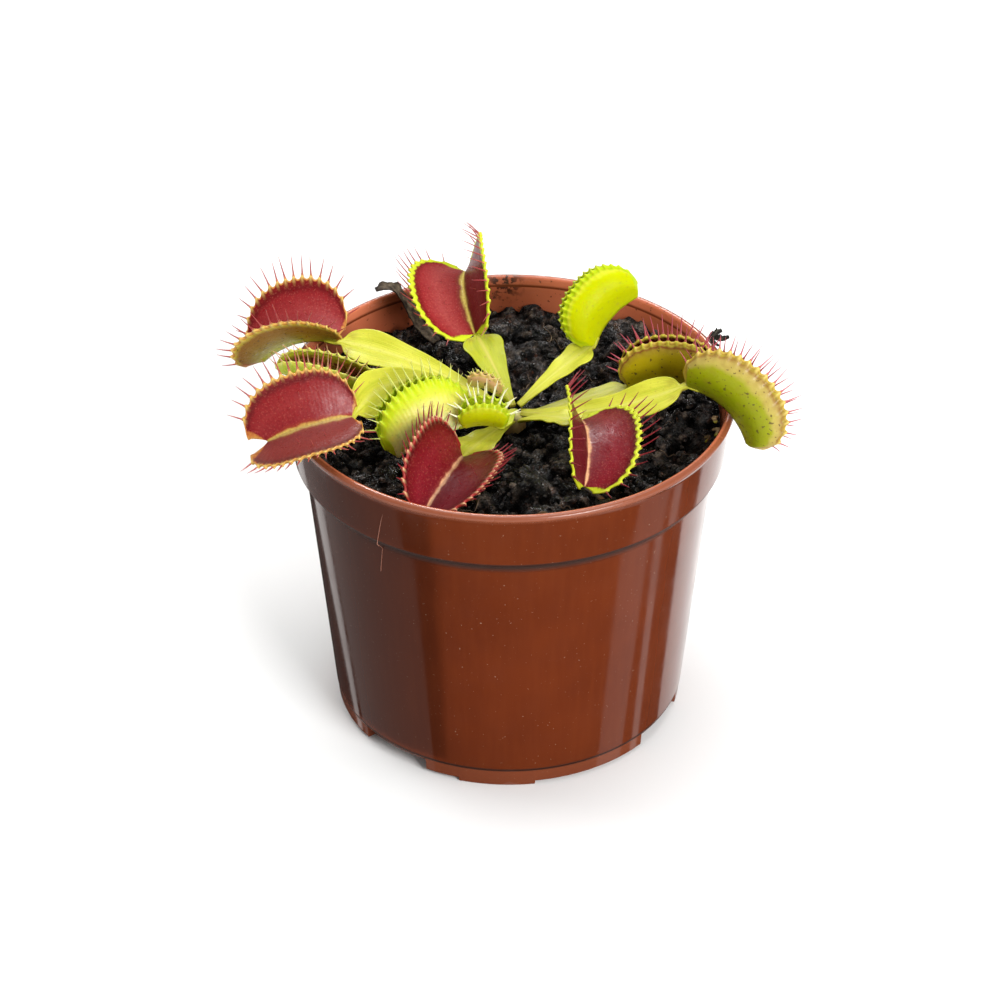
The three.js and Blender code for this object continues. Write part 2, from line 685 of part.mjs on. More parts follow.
// A fallen piece: one or more blades run through their points, fused, and where it rests on the
// peat cut off just above it.
function fallenGeometry(piece, soil) {
  const parts = piece.blades.map(({ points, widths, fold, roll }) => {
    const path = new THREE.CatmullRomCurve3(points.map((point) => new THREE.Vector3(...point)));
    const steps = 2 * (points.length - 1);
    const stations = Array.from({ length: steps + 1 }, (_, i) => {
      const near = widths[Math.floor(i / 2)];
      const far = widths[Math.ceil(i / 2)];
      return {
        place: path.getPoint(i / steps), tangent: path.getTangent(i / steps),
        width: 0.5 * (near + far), fold,
      };
    });
    return toSolid(sweptBlade(stations, roll, 0.33, piece.rib));
  });
  const whole = parts.reduce((sum, part) => sum.add(part));
  return toGeometry(piece.onPeat ? whole.subtract(soil.translate([0, 0, CLEARANCE])) : whole);
}

// ---------------------------------------------------------------- the plant in its pot

const group = new THREE.Group();

function addPiece(name, geometry, colour, roughness) {
  const material = new THREE.MeshStandardMaterial({ color: colour, roughness, metalness: 0 });
  const mesh = new THREE.Mesh(geometry, material);
  mesh.name = name;
  group.add(mesh);
}

addPiece('pot', potGeometry(), 0x7c3b20, 0.25);
const soil = soilSolid();
addPiece('soil', toGeometry(soil), 0x221c18, 0.95);
addPiece('rhizome', rhizomeGeometry(), 0xc8c080, 0.6);
for (const leaf of LEAVES) addPiece(leaf.name, leafGeometry(leaf), leaf.colour, 0.45);
for (const piece of FALLEN) addPiece(piece.name, fallenGeometry(piece, soil), piece.colour, 0.8);

export default group;
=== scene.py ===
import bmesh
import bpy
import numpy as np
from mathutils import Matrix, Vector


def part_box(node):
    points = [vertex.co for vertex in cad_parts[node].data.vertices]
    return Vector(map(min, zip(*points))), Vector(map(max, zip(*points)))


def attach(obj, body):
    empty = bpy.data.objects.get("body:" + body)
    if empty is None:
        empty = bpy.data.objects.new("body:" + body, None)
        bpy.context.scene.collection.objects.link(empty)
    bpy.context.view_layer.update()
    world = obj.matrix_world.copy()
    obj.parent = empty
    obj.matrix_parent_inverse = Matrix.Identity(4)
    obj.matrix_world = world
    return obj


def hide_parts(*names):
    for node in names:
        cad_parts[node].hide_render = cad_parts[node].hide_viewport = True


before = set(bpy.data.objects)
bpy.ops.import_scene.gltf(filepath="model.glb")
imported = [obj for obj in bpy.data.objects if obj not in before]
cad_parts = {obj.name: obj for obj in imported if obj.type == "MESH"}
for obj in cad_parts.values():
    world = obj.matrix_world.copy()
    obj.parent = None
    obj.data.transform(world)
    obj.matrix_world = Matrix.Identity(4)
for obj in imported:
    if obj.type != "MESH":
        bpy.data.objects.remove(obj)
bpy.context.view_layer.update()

# A potted Venus flytrap: a glossy tapered nursery pot, dark crumbly peat, a pale crown and a
# rosette of winged leaf stalks whose traps are edged with bristles, with fallen scraps of leaf
# and twig on the rim and the peat. Everything is in metres, except where a comment or a docstring
# says millimetres.

MM = 0.001
UP = np.array([0.0, 0.0, 1.0])
LATTICE = np.random.default_rng(7).random((24, 24, 24)).astype(np.float32)

# ---------------------------------------------------------------- small tools


def unit(v):
    return v / np.linalg.norm(v, axis=-1, keepdims=True)


def smoothstep(edge0, edge1, x):
    """0 below edge0, 1 above edge1, easing between as 3t^2 - 2t^3."""
    t = np.clip((x - edge0) / (edge1 - edge0), 0, 1)
    return t * t * (3 - 2 * t)


def bell(x, width):
    return np.exp(-(x / width) ** 2)


def slide(z, low, high, ends):
    """The straight line from ends[0] at low to ends[1] at high."""
    return ends[0] + (z - low) / (high - low) * (ends[1] - ends[0])


def around(count):
    return np.linspace(0, 2 * np.pi, count, endpoint=False)


def ring(angle):
    return np.stack([np.cos(angle), np.sin(angle)], -1)


def polar(radius, angle, z):
    x, y = radius * np.cos(angle), radius * np.sin(angle)
    return np.stack([x, y, np.broadcast_to(z, x.shape)], -1)


def cross_axes(tangent, roll=0.0):
    """The level and the upright direction across a path, turned together by `roll` degrees."""
    side = unit(np.cross(UP, tangent))
    roll = np.radians(roll)
    across = np.cos(roll) * side + np.sin(roll) * np.cross(tangent, side)
    return across, np.cross(tangent, across)


def beside(path, x, across, y, out):
    """Points round each station of a path: x along `across` and y along `out` from it."""
    return path[:, None] + x[..., None] * across[:, None] + y[..., None] * out[:, None]


def blade_section(half):
    """Points round a thin blade: x = sin(angle) from -1 to 1 over its top and back below it, and
    the face that each is on: 1, -1, or 0 at the two rims."""
    q = np.sin(np.linspace(-np.pi / 2, np.pi / 2, half))
    face = np.concatenate([np.ones(half), -np.ones(half - 2)])
    face[[0, half - 1]] = 0
    return np.concatenate([q, q[-2:0:-1]]), face


def noise(points, cell, octaves=3, shift=0.0):
    """Repeatable noise, 0 to 1 or so: a cube of random numbers blended between its corners by
    3t^2 - 2t^3, in octaves that are each half as large and half as strong as the last."""
    total = np.zeros(points.shape[:-1], np.float32)
    weight = 1.0
    for octave in range(octaves):
        place = (points + octave * 131.7 + shift) / cell
        corner = np.floor(place).astype(np.int64)
        part = place - corner
        part = part * part * (3 - 2 * part)
        layer = np.zeros_like(total)
        for step in np.ndindex(2, 2, 2):
            index = np.moveaxis((corner + step) % len(LATTICE), -1, 0)
            layer += LATTICE[tuple(index)] * np.where(step, part, 1 - part).prod(-1)
        total += weight * layer
        weight *= 0.5
        cell *= 0.5
    return total / (2 - 0.5 ** (octaves - 1))


def smooth_path(points, count):
    """Catmull-Rom curve through the points: at local t between p1 and p2 it is
    (2 p1 + (p2 - p0) t + (2 p0 - 5 p1 + 4 p2 - p3) t^2 + (3 p1 - p0 - 3 p2 + p3) t^3) / 2."""
    points = np.array(points, float)
    padded = np.concatenate([[2 * points[0] - points[1]], points, [2 * points[-1] - points[-2]]])
    place = np.linspace(0, len(points) - 1, count)
    k = np.minimum(place.astype(int), len(points) - 2)
    t = (place - k)[:, None]
    p0, p1, p2, p3 = (padded[k + i] for i in range(4))
    return (2 * p1 + (p2 - p0) * t + (2 * p0 - 5 * p1 + 4 * p2 - p3) * t ** 2
            + (3 * p1 - p0 - 3 * p2 + p3) * t ** 3) / 2


def rounded(corners, reach, steps=5):
    """A profile with each inner corner cut back by `reach` along both sides and replaced by a
    parabola with its middle control point on the corner."""
    corners = np.array(corners, float)
    middle = corners[1:-1]
    back, ahead = corners[:-2] - middle, corners[2:] - middle
    shorter = np.minimum(np.linalg.norm(back, axis=1), np.linalg.norm(ahead, axis=1))
    cut = np.minimum(reach, 0.45 * shorter)[:, None]
    first, last = middle + cut * unit(back), middle + cut * unit(ahead)
    t = np.linspace(0, 1, steps)[None, :, None]
    arcs = (1 - t) ** 2 * first[:, None] + 2 * t * (1 - t) * middle[:, None] + t * t * last[:, None]
    return np.concatenate([corners[:1], arcs.reshape(-1, 2), corners[-1:]])


# ---------------------------------------------------------------- meshes from arrays


def grid_quads(rows, columns, wrap_rows=False, wrap_columns=False):
    """Quads over a rows x columns grid of points, closing a side where asked."""
    r, c = np.meshgrid(np.arange(rows - 1 + wrap_rows), np.arange(columns - 1 + wrap_columns),
                       indexing="ij")
    r2, c2 = (r + 1) % rows, (c + 1) % columns
    corners = [r * columns + c, r * columns + c2, r2 * columns + c2, r2 * columns + c]
    return np.stack(corners, -1).reshape(-1, 4)


class Parts:
    """Collects the points, faces and per-point values of one or more closed surfaces."""

    def __init__(self):
        self.points, self.faces, self.values, self.count = [], [], {}, 0

    def add(self, points, *faces, **values):
        for some in faces:
            self.faces += (some + self.count).tolist()
        for key, value in values.items():
            value = np.broadcast_to(np.asarray(value, np.float32), points.shape[:-1])
            self.values.setdefault(key, []).append(value.ravel())
        self.points.append(points.reshape(-1, 3))
        self.count += len(self.points[-1])

    def shell(self, grid, caps="flat", wrap=(False, True), **values):
        """Quads over a grid of points (stations x points round). They are turned over where the
        volume, the sum of a . (b x c) over their triangles, is negative. Each end is closed by
        one flat face or, for a thin folded section, by a ladder of faces between its sides."""
        stations, count = grid.shape[:2]
        quads = grid_quads(stations, count, *wrap)
        corners = grid.reshape(-1, 3) - grid.reshape(-1, 3).mean(axis=0)
        a, b, c, d = (corners[quads[:, i]] for i in range(4))
        way = 1 if np.sum(a * (np.cross(b, c) + np.cross(c, d))) > 0 else -1
        ends = []
        if caps == "flat":
            ends = [np.arange(count)[None]]
        elif caps == "ladder":
            j, last = np.arange(count // 2 - 2), count // 2 - 2
            ends = [np.stack([j, j + 1, count - 3 - j, count - 2 - j], -1),
                    np.array([[last, last + 1, last + 2]]), np.array([[count - 2, count - 1, 0]])]
        far = (stations - 1) * count
        closing = [faces for end in ends for faces in (end[:, ::-way], far + end[:, ::way])]
        self.add(grid, quads[:, ::way], *closing, **values)
        return self

    def tube(self, path, radius, sides):
        across, out = cross_axes(unit(np.gradient(path, axis=0)))
        turn = around(sides)[None, :, None]
        rim = np.cos(turn) * across[:, None] + np.sin(turn) * out[:, None]
        return self.shell(path[:, None] + radius * rim)

    def build(self, name):
        mesh = bpy.data.meshes.new(name)
        mesh.from_pydata(np.concatenate(self.points).tolist(), [], self.faces)
        for key, columns in self.values.items():
            mesh.attributes.new(key, "FLOAT", "POINT").data.foreach_set("value", np.concatenate(columns))
        mesh.shade_smooth()
        return mesh


def link(name, data):
    thing = bpy.data.objects.new(name, data)
    bpy.context.scene.collection.objects.link(thing)
    return thing


def add_piece(name, parts, material, node):
    """A finished piece: its mesh, its finish, the body it rides on and the node it stands for."""
    piece = link(name, parts.build(name))
    piece.data.materials.append(material)
    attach(piece, "root")
    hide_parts(node)
    return piece


def weld(mesh):
    """Joins points that lie together, so that a pole or a seam is closed."""
    work = bmesh.new()
    work.from_mesh(mesh)
    bmesh.ops.remove_doubles(work, verts=work.verts, dist=0.002 * MM)
    bmesh.ops.dissolve_degenerate(work, edges=work.edges, dist=0.001 * MM)
    work.to_mesh(mesh)
    work.free()


# ---------------------------------------------------------------- finishes


def srgb(red, green, blue):
    """A colour given as 0 to 255 steps, turned into linear light."""
    c = np.array([red, green, blue]) / 255
    linear = np.where(c <= 0.04045, c / 12.92, ((c + 0.055) / 1.055) ** 2.4)
    return (*linear.tolist(), 1.0)


class Amount:
    """A node's output, which varies over a piece and can be added and multiplied."""

    def __init__(self, finish, socket):
        self.finish, self.socket = finish, socket

    def __add__(self, other):
        return self.finish.math("ADD", self, other)

    def __mul__(self, other):
        return self.finish.math("MULTIPLY", self, other)


class Finish:
    """A node material and short calls that each add to it and return an output. Sizes are in
    millimetres, and a colour is red, green and blue in 0 to 255 steps."""

    def __init__(self, name, roughness, specular=0.5, subsurface=0.0):
        self.material = bpy.data.materials.new(name)
        self.material.use_nodes = True
        self.tree = self.material.node_tree
        self.shader = self.tree.nodes["Principled BSDF"].inputs
        self.shader["Roughness"].default_value = roughness
        self.shader["Specular IOR Level"].default_value = specular
        self.shader["Subsurface Weight"].default_value = subsurface
        self.shader["Subsurface Radius"].default_value = (1.0, 0.5, 0.2)
        self.shader["Subsurface Scale"].default_value = 0.7 * MM
        self.place = self.node("TexCoord", "Object")

    def put(self, socket, value):
        if isinstance(value, Amount):
            self.tree.links.new(value.socket, socket)
        else:
            socket.default_value = value

    def node(self, kind, output, *inputs, **settings):
        node = self.tree.nodes.new("ShaderNode" + kind)
        for key, value in settings.items():
            setattr(node, key, value)
        for socket, value in inputs:
            self.put(node.inputs[socket], value)
        return Amount(self, node.outputs[output])

    def attribute(self, name):
        return self.node("Attribute", "Fac", attribute_name=name)

    def axis(self, name):
        return self.node("SeparateXYZ", name, (0, self.place))

    def noise(self, size, detail=3.0, stretch=(1, 1, 1)):
        """Cloudy noise whose blotches are about `size` across."""
        spot = self.node("Mapping", 0, ("Vector", self.place), ("Scale", stretch))
        return self.node("TexNoise", "Fac", ("Vector", spot), ("Scale", 1 / (size * MM)),
                         ("Detail", detail))

    def streaks(self, along, across, long_scale, cross_scale, detail=3.0):
        """Noise drawn out along a leaf: read at (along x long_scale, across x cross_scale)."""
        spot = self.node("CombineXYZ", 0, (0, along * long_scale), (1, across * cross_scale))
        return self.node("TexNoise", "Fac", ("Vector", spot), ("Scale", 1.0), ("Detail", detail))

    def math(self, operation, a, b=0.0):
        return self.node("Math", 0, (0, a), (1, b), operation=operation)

    def spread(self, value, low, high, to_low=0.0, to_high=1.0):
        """The range low..high stretched to to_low..to_high, and held at its ends."""
        return self.node("MapRange", 0, *enumerate((value, low, high, to_low, to_high)))

    def patches(self, size, detail, *limits):
        return self.spread(self.noise(size, detail), *limits)

    def ramp(self, value, *stops):
        """Colours along a value: each stop is its position, red, green and blue."""
        colours = self.node("ValToRGB", "Color", ("Fac", value))
        elements = colours.socket.node.color_ramp.elements
        while len(elements) < len(stops):
            elements.new(0.5)
        for element, (position, *colour) in zip(elements, stops):
            element.position = position
            element.color = srgb(*colour)
        return colours

    def mix(self, share, a, b, blend="MIX"):
        a, b = (srgb(*colour) if isinstance(colour, tuple) else colour for colour in (a, b))
        return self.node("Mix", 2, (0, share), (6, a), (7, b), data_type="RGBA", blend_type=blend)

    def done(self, colour, height=None, depth=0.0, roughness=None):
        """Joins the colour, the bump's height and depth, and where it varies the roughness."""
        self.put(self.shader["Base Color"], srgb(*colour) if isinstance(colour, tuple) else colour)
        if roughness is not None:
            self.put(self.shader["Roughness"], roughness)
        if height is not None:
            bump = self.node("Bump", "Normal", ("Distance", depth * MM), ("Height", height))
            self.put(self.shader["Normal"], bump)
        return self.material


# ---------------------------------------------------------------- pot

POT_HEIGHT = np.array(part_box("pot")[1])[2]
RIM_RADIUS = 45 * MM
LIP = 0.8 * MM
WALL = 1.1 * MM
FOOT_HEIGHT = 4.1 * MM
SHOULDER = POT_HEIGHT - 12.8 * MM
COLLAR = (43.1 * MM, 44.1 * MM)
BODY = (36 * MM, 41.1 * MM)
FOOT_RADIUS = 35.6 * MM
FLOOR_TOP = 5.6 * MM
# Azimuths of the middles, then the span, in degrees.
PADS = ((-94, 26, 146), 25)
NOTCHES = ((-131, -28, 75, 152), 26)
# The middle of the smear inside the rear wall.
SMEAR = (-1 * MM, 42.6 * MM, 70.6 * MM)


def within(azimuth, centres, span):
    turn = (azimuth[:, None] - np.array(centres) + 180) % 360 - 180
    return np.any(np.abs(turn) < span / 2, axis=1)


def pot_parts():
    """The wall's profile turned about Z. Points below the foot's height are squeezed upwards, so
    that the lower edge is at 0 on the pads, 0.8 mm between them and 3.3 mm in a notch, and the
    wall waves by a few hundredths of a millimetre."""
    foot = FOOT_HEIGHT - 0.3 * MM
    lip = np.array([RIM_RADIUS - LIP, POT_HEIGHT - LIP]) + LIP * ring(np.radians(np.linspace(-70, 160, 12)))
    outside = rounded([
        [FOOT_RADIUS - 0.8 * MM, 0], [FOOT_RADIUS, 0], [FOOT_RADIUS + 0.2 * MM, foot],
        [BODY[0], FOOT_HEIGHT], [BODY[1], SHOULDER - 0.8 * MM],
        [COLLAR[0] - 0.5 * MM, SHOULDER - 0.3 * MM], [COLLAR[0], SHOULDER + 0.3 * MM],
        [COLLAR[1], POT_HEIGHT - 2.4 * MM], lip[0],
    ], 0.35 * MM)
    inside = rounded([
        lip[-1], [COLLAR[1] - WALL, POT_HEIGHT - 2.4 * MM], [COLLAR[0] - WALL, SHOULDER + 0.6 * MM],
        [BODY[1] - WALL, SHOULDER - 0.8 * MM], [BODY[0] - WALL, FLOOR_TOP], [0, FLOOR_TOP],
        [0, foot], [FOOT_RADIUS - 1.7 * MM, foot], [FOOT_RADIUS - 1.7 * MM, 0],
        [FOOT_RADIUS - 0.8 * MM, 0],
    ], 0.35 * MM)
    inside[:, 0] = np.where(inside[:, 0] < 0.5 * MM, 0, inside[:, 0])
    radius, z = np.concatenate([outside[:-1], lip, inside[1:-1]]).T
    steps = np.array([centre + side * span / 2 + nudge for centres, span in (PADS, NOTCHES)
                      for centre in centres for side in (-1, 1) for nudge in (-0.1, 0.1)])
    azimuth = np.unique(np.round(np.concatenate([np.arange(0, 360, 1.0), steps % 360]), 3))
    edge = np.where(within(azimuth, *PADS), 0.0, 0.8 * MM)
    edge = np.where(within(azimuth, *NOTCHES), 3.3 * MM, edge)[:, None]
    height = np.where(z < foot, edge * (1 - np.clip(z / foot, 0, 1)) + z, z)
    angle = np.radians(azimuth)[:, None]
    wave = 0.03 * MM * np.sin(3 * angle + 90 * z) * smoothstep(0.006, 0.02, z) * (z < SHOULDER)
    return Parts().shell(polar(radius + wave, angle, height), None, (True, True))


def drill(piece, radius, circle, count, low, high):
    """Cuts `count` round holes along Z, evenly spaced on a circle, and applies the cut."""
    parts = Parts()
    for centre in circle * ring(around(count)):
        rim = centre + radius * ring(around(32))
        parts.shell(np.stack([np.column_stack([rim, np.full(32, z)]) for z in (low, high)]))
    cutter = link("drills", parts.build("drills"))
    cut = piece.modifiers.new("holes", "BOOLEAN")
    cut.operation = "DIFFERENCE"
    cut.solver = "EXACT"
    cut.object = cutter
    evaluated = piece.evaluated_get(bpy.context.evaluated_depsgraph_get())
    piece.data = bpy.data.meshes.new_from_object(evaluated)
    piece.modifiers.clear()
    bpy.data.objects.remove(cutter)


def pot_finish():
    """Glossy red-brown plastic: faint cloudy colour, fine upright streaks and dust specks, painted
    shade in the corners under the collar and above the foot, and a dull, dusty lip and foot. Inside,
    painted light makes the wall and the inner lip lighter; it is splashed, with one smear at the back."""
    f = Finish("pot_plastic", 0.1, specular=0.42)
    x, y, z = (f.axis(name) for name in "XYZ")

    def rise(level, start, full, *limits):
        """0 at `start` and 1 at `full`, in millimetres measured up from a level."""
        return f.spread(z, level + start * MM, level + full * MM, *limits)

    def line(level, start, full, fade, end):
        return rise(level, start, full) * rise(level, fade, end, 1.0, 0.0)

    cloud = f.patches(18, 3, 0.35, 0.65)
    drawn = f.noise(1.3, 4, (1, 1, 0.035))
    specks = f.patches(0.5, 2, 0.715, 0.76)
    colour = f.mix(cloud, (92, 38, 16), (99, 42, 18))
    colour = f.mix(f.spread(drawn, 0.42, 0.75, 0.0, 0.1), colour, (126, 62, 30))
    colour = f.mix(specks * 0.4, colour, (176, 146, 124))
    worn = rise(POT_HEIGHT, -2.2, -0.9) * 0.45 + rise(FOOT_HEIGHT, 0, -0.5) * 0.25
    colour = f.mix(worn, colour, (160, 92, 64))
    # Painted shade: dark lines in the corners under the collar and above the foot, where shade falls; the
    # same lines are also duller.
    corners = line(SHOULDER, -2.9, -1.6, 0.4, 0.75), line(FOOT_HEIGHT, -0.5, -0.15, 0.1, 0.5)
    corner_shade = f.math("MAXIMUM", *corners) * 0.85
    colour = f.mix(corner_shade, colour, (34, 22, 16))
    away = f.math("SQRT", x * x + y * y)
    wall = f.spread(away, 43.07 * MM, 43.03 * MM) * rise(SHOULDER, 0.4, 1)
    lip = f.spread(away, 44.4 * MM, 44 * MM) * rise(POT_HEIGHT, -1.9, -1.5)
    inside = f.math("MAXIMUM", wall, lip)
    # Painted light: the inside wall and the inner lip are made lighter than the plastic outside.
    colour = f.mix(inside, colour, f.mix(cloud, (176, 92, 62), (200, 112, 78)))
    smear = f.node("VectorMath", "Value", (0, f.place), (1, SMEAR), operation="DISTANCE")
    soiled = f.spread(smear, 5 * MM, 2 * MM) * f.patches(1.2, 4, 0.47, 0.55, 0.0, 0.9)
    colour = f.mix(soiled * inside, colour, (44, 28, 20))
    colour = f.mix(f.patches(0.9, 3, 0.66, 0.7, 0.0, 0.8) * inside, colour, (70, 42, 30))
    grain = f.noise(1.2, 4) + specks * 0.7 + drawn * 0.25
    dull = worn * 0.35 + corner_shade * 0.5
    return f.done(colour, grain, 0.006, f.patches(5, 4, 0.3, 0.7, 0.07, 0.15) + dull)


def hair_parts():
    """A pale hair on the wall: a thin tube down the collar, over its step and down the body,
    drifting 6 degrees sideways as it falls."""
    z = np.linspace(POT_HEIGHT - 2.6 * MM, SHOULDER - 9 * MM, 40)
    body = slide(z, FOOT_HEIGHT, SHOULDER, BODY)
    collar = slide(z, SHOULDER, POT_HEIGHT, COLLAR)
    radius = body + smoothstep(SHOULDER - 3 * MM, SHOULDER, z) * (collar - body) + 0.06 * MM
    angle = np.radians(-122 - 6.3 * np.linspace(0, 1, 40) ** 0.7)
    return Parts().tube(polar(radius, angle, z), 0.08 * MM, 6)


def make_pot():
    hair = Finish("hair", 0.5).done((170, 112, 92))
    add_piece("wall_hair", hair_parts(), hair, "pot")
    pot = add_piece("pot_shell", pot_parts(), pot_finish(), "pot")
    weld(pot.data)
    drill(pot, radius=3.2 * MM, circle=24 * MM, count=6, low=-1 * MM, high=FLOOR_TOP + 1 * MM)
    pot.data.shade_smooth()
    pot.data.set_sharp_from_angle(angle=np.radians(35))


# ---------------------------------------------------------------- peat

SOIL_LEVEL = 64 * MM
PEAT_RADIUS = slide(SOIL_LEVEL, SHOULDER, POT_HEIGHT, COLLAR) - WALL
CROWN = np.array([1.0, 0.8]) * MM


def peat_height(x, y):
    """Level plus a slow swell, broad lumps, a raised edge, a bank at the right rear and one big
    rounded clod in front, less a hollow round the crown; folded noise heaps and crumbles it."""
    u, v = x / MM, y / MM
    swell = 0.5 * np.sin(0.16 * u + 1.1) + 0.5 * np.cos(0.19 * v - 0.4)
    lumps = np.sin(0.55 * u + 1.7 * np.sin(0.33 * v)) * np.cos(0.5 * v + 0.9)
    hollow = 1.4 * np.exp(-((u - 1) ** 2 + (v - 0.8) ** 2) / 100)
    outward = np.hypot(x, y) / PEAT_RADIUS
    turned = np.angle(np.exp(1j * (np.radians(38) - np.arctan2(y, x))))
    bank = 3.4 * bell(turned, np.radians(28)) * outward ** 4
    level = swell - hollow + 1.2 * outward ** 3 + bank + 0.5 * lumps
    clod = np.sqrt(np.maximum(0, 1 - ((u - 2.5) / 5.6) ** 2 - ((v + 26) / 4.6) ** 2))
    return SOIL_LEVEL + MM * (level + 3 * clod + peat_crumble(x, y) * (1 - 0.7 * clod))


def peat_crumble(x, y):
    """Heaps and crumbs in millimetres: 5.6 |n(5.5) - 1/2| + 3.6 |n(2.2) - 1/2| + 1.4 |n(0.8) - 1/2|
    - 1.9, where n(c) is noise with cells of c millimetres."""
    place = np.stack([x, y, np.zeros_like(x)], -1)
    heaps = np.abs(noise(place, 5.5 * MM, 2) - 0.5)
    coarse = np.abs(noise(place, 2.2 * MM, 3, 0.03) - 0.5)
    fine = np.abs(noise(place, 0.8 * MM, 3, 0.05) - 0.5)
    return 5.6 * heaps + 3.6 * coarse + 1.4 * fine - 1.9


def peat_parts():
    """A disc of rings about the axis lifted to the peat's height, with its side and its base."""
    angle = around(480)[None]
    radius = np.linspace(0, 1, 170)[:, None] * (PEAT_RADIUS - 0.4 * MM)
    x, y = radius * np.cos(angle), radius * np.sin(angle)
    play, base = WALL + 0.4 * MM, FLOOR_TOP + 0.4 * MM
    lower = [polar(r, angle[0], z)
             for r, z in ((BODY[1] - play, SHOULDER - 1 * MM), (BODY[0] - play, base), (0, base))]
    # The depth of each hollow is kept as the mask for the painted shade there.
    hollow = smoothstep(-0.1, -1.3, peat_crumble(x, y))
    return Parts().shell(np.concatenate([np.stack([x, y, peat_height(x, y)], -1), lower]), None,
                         hollow=np.concatenate([hollow, np.ones((3, angle.size))]))


def crumb_parts(count, low, high, seed):
    """Loose crumbs, `low` to `high` millimetres across: a cube's surface blown up to a ball, each
    point pushed in or out by noise, turned and set on the peat at seeded random places."""
    rng = np.random.default_rng(seed)
    work = bmesh.new()
    bmesh.ops.create_cube(work, size=1)
    bmesh.ops.subdivide_edges(work, edges=work.edges, cuts=1, use_grid_fill=True)
    ball = unit(np.array([v.co for v in work.verts]))
    faces = np.array([[v.index for v in f.verts] for f in work.faces])
    work.free()
    radius = np.sqrt(rng.random(count)) * (PEAT_RADIUS - 1.6 * MM)
    place = radius[:, None] * ring(rng.random(count) * 2 * np.pi)
    x, y = place[np.linalg.norm(place - CROWN, axis=1) > 5 * MM].T
    size = MM * (low + (high - low) * rng.random(len(x)) ** 3)
    rough = 0.65 + 0.7 * noise(ball[None] + 9 * rng.random((len(x), 1, 3)), 0.7, 2)
    stretch = 0.6 + 0.6 * rng.random((len(x), 1, 3))
    spin, _ = np.linalg.qr(rng.normal(size=(len(x), 3, 3)))
    spin *= np.sign(np.linalg.det(spin))[:, None, None]
    shape = (ball[None] * rough[..., None] * stretch) @ spin
    centre = np.stack([x, y, peat_height(x, y) + 0.1 * size], -1)
    parts = Parts()
    parts.add(centre[:, None] + shape * size[:, None, None],
              (faces[None] + (np.arange(len(x)) * len(ball))[:, None, None]).reshape(-1, 4))
    return parts


def clod_parts(count, seed):
    """Clods and shreds of bark: balls from a grid of (turn, height) angles, swelled towards a
    box as d / max|d|^0.55, stretched, dented by noise and half sunk in the peat."""
    rng = np.random.default_rng(seed)
    tilt = np.linspace(0.04, np.pi - 0.04, 16)[:, None]
    ball = polar(np.sin(tilt), around(28)[None], np.cos(tilt))
    boxy = ball / np.abs(ball).max(-1, keepdims=True) ** 0.55
    parts = Parts()
    for _ in range(count):
        azimuth, share = rng.random() * 2 * np.pi, np.sqrt(0.12 + 0.8 * rng.random())
        centre = share * (PEAT_RADIUS - 3 * MM) * ring(azimuth)
        size = MM * (1.0 + 2.2 * rng.random() ** 1.6)
        stretch = np.array([0.7 + 1.0 * rng.random() ** 2, 0.6 + 0.5 * rng.random(),
                            0.4 + 0.35 * rng.random()])
        (c, s), (c2, s2) = ring(rng.random() * 2 * np.pi), ring(0.5 * rng.normal())
        flat = np.array([[c, s, 0], [-s, c, 0], [0, 0, 1]])
        tip = np.array([[c2, 0, s2], [0, 1, 0], [-s2, 0, c2]])
        rough = 0.5 + 0.75 * noise(ball + 9 * rng.random(3), 0.7, 4)
        shape = (boxy * rough[..., None] * stretch) @ tip @ flat * size
        height = float(peat_height(centre[:1], centre[1:])[0]) + 0.05 * size
        parts.shell(shape + np.array([*centre, height]))
    return parts


def fibre_parts(count, seed):
    """Fine roots strewn over the peat: thin tubes along smooth wandering paths."""
    rng = np.random.default_rng(seed)
    parts = Parts()
    for _ in range(count):
        azimuth, share = rng.random() * 2 * np.pi, np.sqrt(0.05 + 0.85 * rng.random())
        start = share * (PEAT_RADIUS - 5 * MM) * ring(azimuth)
        heading = rng.random() * 2 * np.pi + np.cumsum(rng.normal(size=8) * 0.45)
        stride = MM * (0.4 + 0.7 * rng.random())
        knots = start + stride * np.cumsum(ring(heading), axis=0)
        away = np.linalg.norm(knots, axis=1, keepdims=True)
        knots = knots * np.minimum(1, (PEAT_RADIUS - 1.5 * MM) / away)
        height = peat_height(*knots.T) + MM * (0.1 + 0.6 * rng.random(8))
        path = smooth_path(np.column_stack([knots, height]), 22)
        parts.tube(path, MM * (0.05 + 0.08 * rng.random()), 5)
    return parts


def peat_finish():
    """Near-black peat with damp glints, paler dry grains, a few brown shreds, and painted shade that
    blackens its hollows.
    """
    f = Finish("peat", 0.6, specular=0.4)
    hollow = f.attribute("hollow")
    colour = f.ramp(f.noise(2, 6), (0.4, 3, 3, 3), (0.5, 20, 17, 15), (0.58, 56, 47, 41),
                    (0.68, 104, 92, 80))
    colour = f.mix(f.patches(0.6, 3, 0.6, 0.7) * 0.35, colour, (130, 118, 106))
    shreds = f.spread(f.noise(1.1, 3, (1, 0.3, 1)), 0.64, 0.72)
    colour = f.mix(shreds * 0.5, colour, (104, 66, 44))
    earthy = f.mix(1.0, colour, (255, 196, 168), "MULTIPLY")
    colour = f.mix(f.patches(7, 3, 0.5, 0.65, 0.0, 0.5), colour, earthy)
    # Painted shade: the hollows between heaps are darkened almost to black, and glint less.
    colour = f.mix(hollow * 0.9, colour, (2, 2, 2))
    wet = f.patches(2.6, 4, 0.42, 0.58, 0.15, 0.7)
    f.put(f.shader["Specular IOR Level"], wet * f.spread(hollow, 0.0, 1.0, 1.0, 0.1))
    grain = f.noise(0.4, 6) + f.noise(1.3, 4) * 1.8
    return f.done(colour, grain, 1.1, f.patches(1.6, 3, 0.4, 0.6, 0.14, 0.5))


